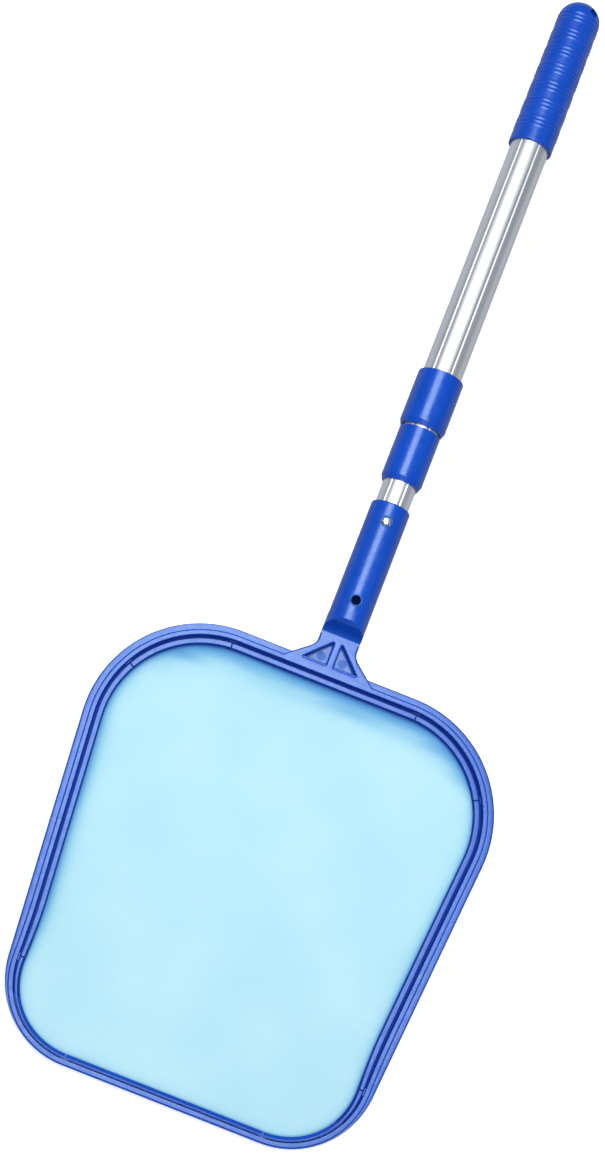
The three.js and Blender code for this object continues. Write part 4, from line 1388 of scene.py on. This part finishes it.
def clip_line():
    """The strip's middle line from leg to leg, as (y, height over the pole's axis) points."""
    low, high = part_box("spring_clip")
    reach = (high.z - low.z) / 2 - CLIP_THICKNESS / 2
    bend_y = high.y - CLIP_BEND - CLIP_THICKNESS / 2
    leg = [
        (button_y - CLIP_TIP_REACH, -reach + CLIP_TIP_DROP),
        (button_y - CLIP_LEG_REACH, -reach),
        (button_y + CLIP_LEG_REACH, -reach),
    ]
    bend = []
    for step in range(CLIP_BEND_STEPS + 1):
        angle = -math.pi / 2 + math.pi * step / CLIP_BEND_STEPS
        bend.append((bend_y + CLIP_BEND * math.cos(angle), CLIP_BEND * math.sin(angle)))
    return leg + bend + [(y, -z) for y, z in reversed(leg)]


def build_clip():
    """A spring strip bent double inside the tube, one leg for each button."""
    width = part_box("spring_clip")[1].x
    line = clip_line()
    points, faces = [], []
    for i, here in enumerate(line):
        before, after = Vector(line[max(i - 1, 0)]), Vector(line[min(i + 1, len(line) - 1)])
        along = (after - before).normalized()
        side = Vector((-along.y, along.x)) * (CLIP_THICKNESS / 2)
        for x, s in ((-width, 1), (width, 1), (width, -1), (-width, -1)):
            points.append((x, here[0] + side.x * s, pole_z + here[1] + side.y * s))
    for i in range(len(line) - 1):
        for corner in range(4):
            a, b = i * 4 + corner, i * 4 + (corner + 1) % 4
            faces.append([a, b, b + 4, a + 4])
    faces += [[0, 1, 2, 3], [len(points) - 4 + i for i in range(4)]]
    piece = make_object("button_spring", points, faces)
    finish_piece(piece, strip_steel, "net_head", "spring_steel", "spring_clip")


# ---- Stage ----

def build_floor():
    """A pale floor that only the camera sees, a little self-lit so that shadows on it stay faint."""
    mesh = bpy.data.meshes.new("studio_floor")
    corners = [(-FLOOR_HALF, -FLOOR_HALF), (FLOOR_HALF, -FLOOR_HALF), (FLOOR_HALF, FLOOR_HALF),
               (-FLOOR_HALF, FLOOR_HALF)]
    mesh.from_pydata([(x, y, -FLOOR_DROP) for x, y in corners], [], [[0, 1, 2, 3]])
    floor = bpy.data.objects.new("studio_floor", mesh)
    bpy.context.scene.collection.objects.link(floor)
    paint = Paint("pale_floor", (0.80, 0.805, 0.81), roughness=0.9)
    paint.shader.inputs["Emission Color"].default_value = (1, 1, 1, 1)
    paint.shader.inputs["Emission Strength"].default_value = FLOOR_GLOW
    mesh.materials.append(paint.material)
    floor.visible_glossy = False
    floor.visible_diffuse = False


def build_softbox():
    """One large softbox overhead, square to the camera's view."""
    box = bpy.data.lights.new("softbox", "AREA")
    box.shape = "RECTANGLE"
    box.size = SOFTBOX_WIDTH
    box.size_y = SOFTBOX_LENGTH
    box.energy = SOFTBOX_WATTS
    box.color = (0.97, 0.99, 1.0)
    softbox = bpy.data.objects.new("softbox", box)
    softbox.location = SOFTBOX_PLACE
    softbox.rotation_euler = (0, 0, math.radians(PICTURE_TURN))
    softbox.visible_camera = False
    bpy.context.scene.collection.objects.link(softbox)


def build_room():
    """A plain white room, darker low down, that glossy surfaces see as dim overhead."""
    world = bpy.data.worlds.new("studio")
    bpy.context.scene.world = world
    world.use_nodes = True
    tree = world.node_tree
    direction = tree.nodes.new("ShaderNodeTexCoord").outputs["Object"]
    split = tree.nodes.new("ShaderNodeSeparateXYZ")
    tree.links.new(direction, split.inputs[0])
    height = split.outputs["Z"]
    diffuse = tree.nodes.new("ShaderNodeMapRange")
    feed(tree, diffuse, (height, -0.25, 0.10, 0.15, 0.5))
    glossy = tree.nodes.new("ShaderNodeMapRange")
    feed(tree, glossy, (height, -0.10, 0.15, 0.55, 0.08))
    path = tree.nodes.new("ShaderNodeLightPath")
    strength = tree.nodes.new("ShaderNodeMix")
    tree.links.new(path.outputs["Is Glossy Ray"], strength.inputs["Factor"])
    tree.links.new(diffuse.outputs[0], strength.inputs["A"])
    tree.links.new(glossy.outputs[0], strength.inputs["B"])
    background = tree.nodes["Background"]
    background.inputs["Color"].default_value = (0.93, 0.97, 1.03, 1)
    tree.links.new(strength.outputs["Result"], background.inputs["Strength"])
    bpy.context.scene.view_settings.view_transform = "Standard"


def build_camera():
    """A camera nearly overhead, turned so that the pole runs up and to the right."""
    data = bpy.data.cameras.new("camera")
    data.lens = CAMERA_LENS
    data.sensor_width = CAMERA_SENSOR
    camera = bpy.data.objects.new("camera", data)
    bpy.context.scene.collection.objects.link(camera)
    target = Vector((CAMERA_AIM_X, CAMERA_AIM_Y, pole_z))
    elevation = math.radians(CAMERA_ELEVATION)
    roll = math.radians(PICTURE_TURN)
    towards = Vector((0, -math.cos(elevation), math.sin(elevation)))
    up_plain = Vector((0, math.sin(elevation), math.cos(elevation)))
    right_plain = Vector((1, 0, 0))
    right = right_plain * math.cos(roll) + up_plain * math.sin(roll)
    up = up_plain * math.cos(roll) - right_plain * math.sin(roll)
    turn = Matrix((right, up, towards)).transposed().to_4x4()
    camera.matrix_world = Matrix.Translation(target + towards * CAMERA_DISTANCE) @ turn
    bpy.context.scene.camera = camera


build_camera()
build_floor()
build_softbox()
build_room()
flutes = flute_tree()
ribs = rib_tree()
blocks = block_tree()
build_net_frame()
build_ring()
build_cloth()
build_button("front_snap_button", "front_button", "front_button", False)
build_button("rear_snap_button", "rear_button", "rear_button", True)
build_clip()
build_tube("inner_fluted_tube", "inner_tube", "net_head", [(button_y, TUBE_BUTTON_HOLE)])
build_tube("middle_fluted_tube", "middle_tube", "middle_section")
build_tube("outer_fluted_tube", "outer_tube", "outer_section")
build_plug("inner_end_plug", "inner_tube_plug", "net_head", "inner_tube")
build_plug("middle_end_plug", "middle_tube_plug", "middle_section", "middle_tube")
build_lock("lower", "middle_tube", "inner_tube", "lower_lock", "middle_section")
build_lock("upper", "outer_tube", "middle_tube", "upper_lock", "outer_section")
build_grip()
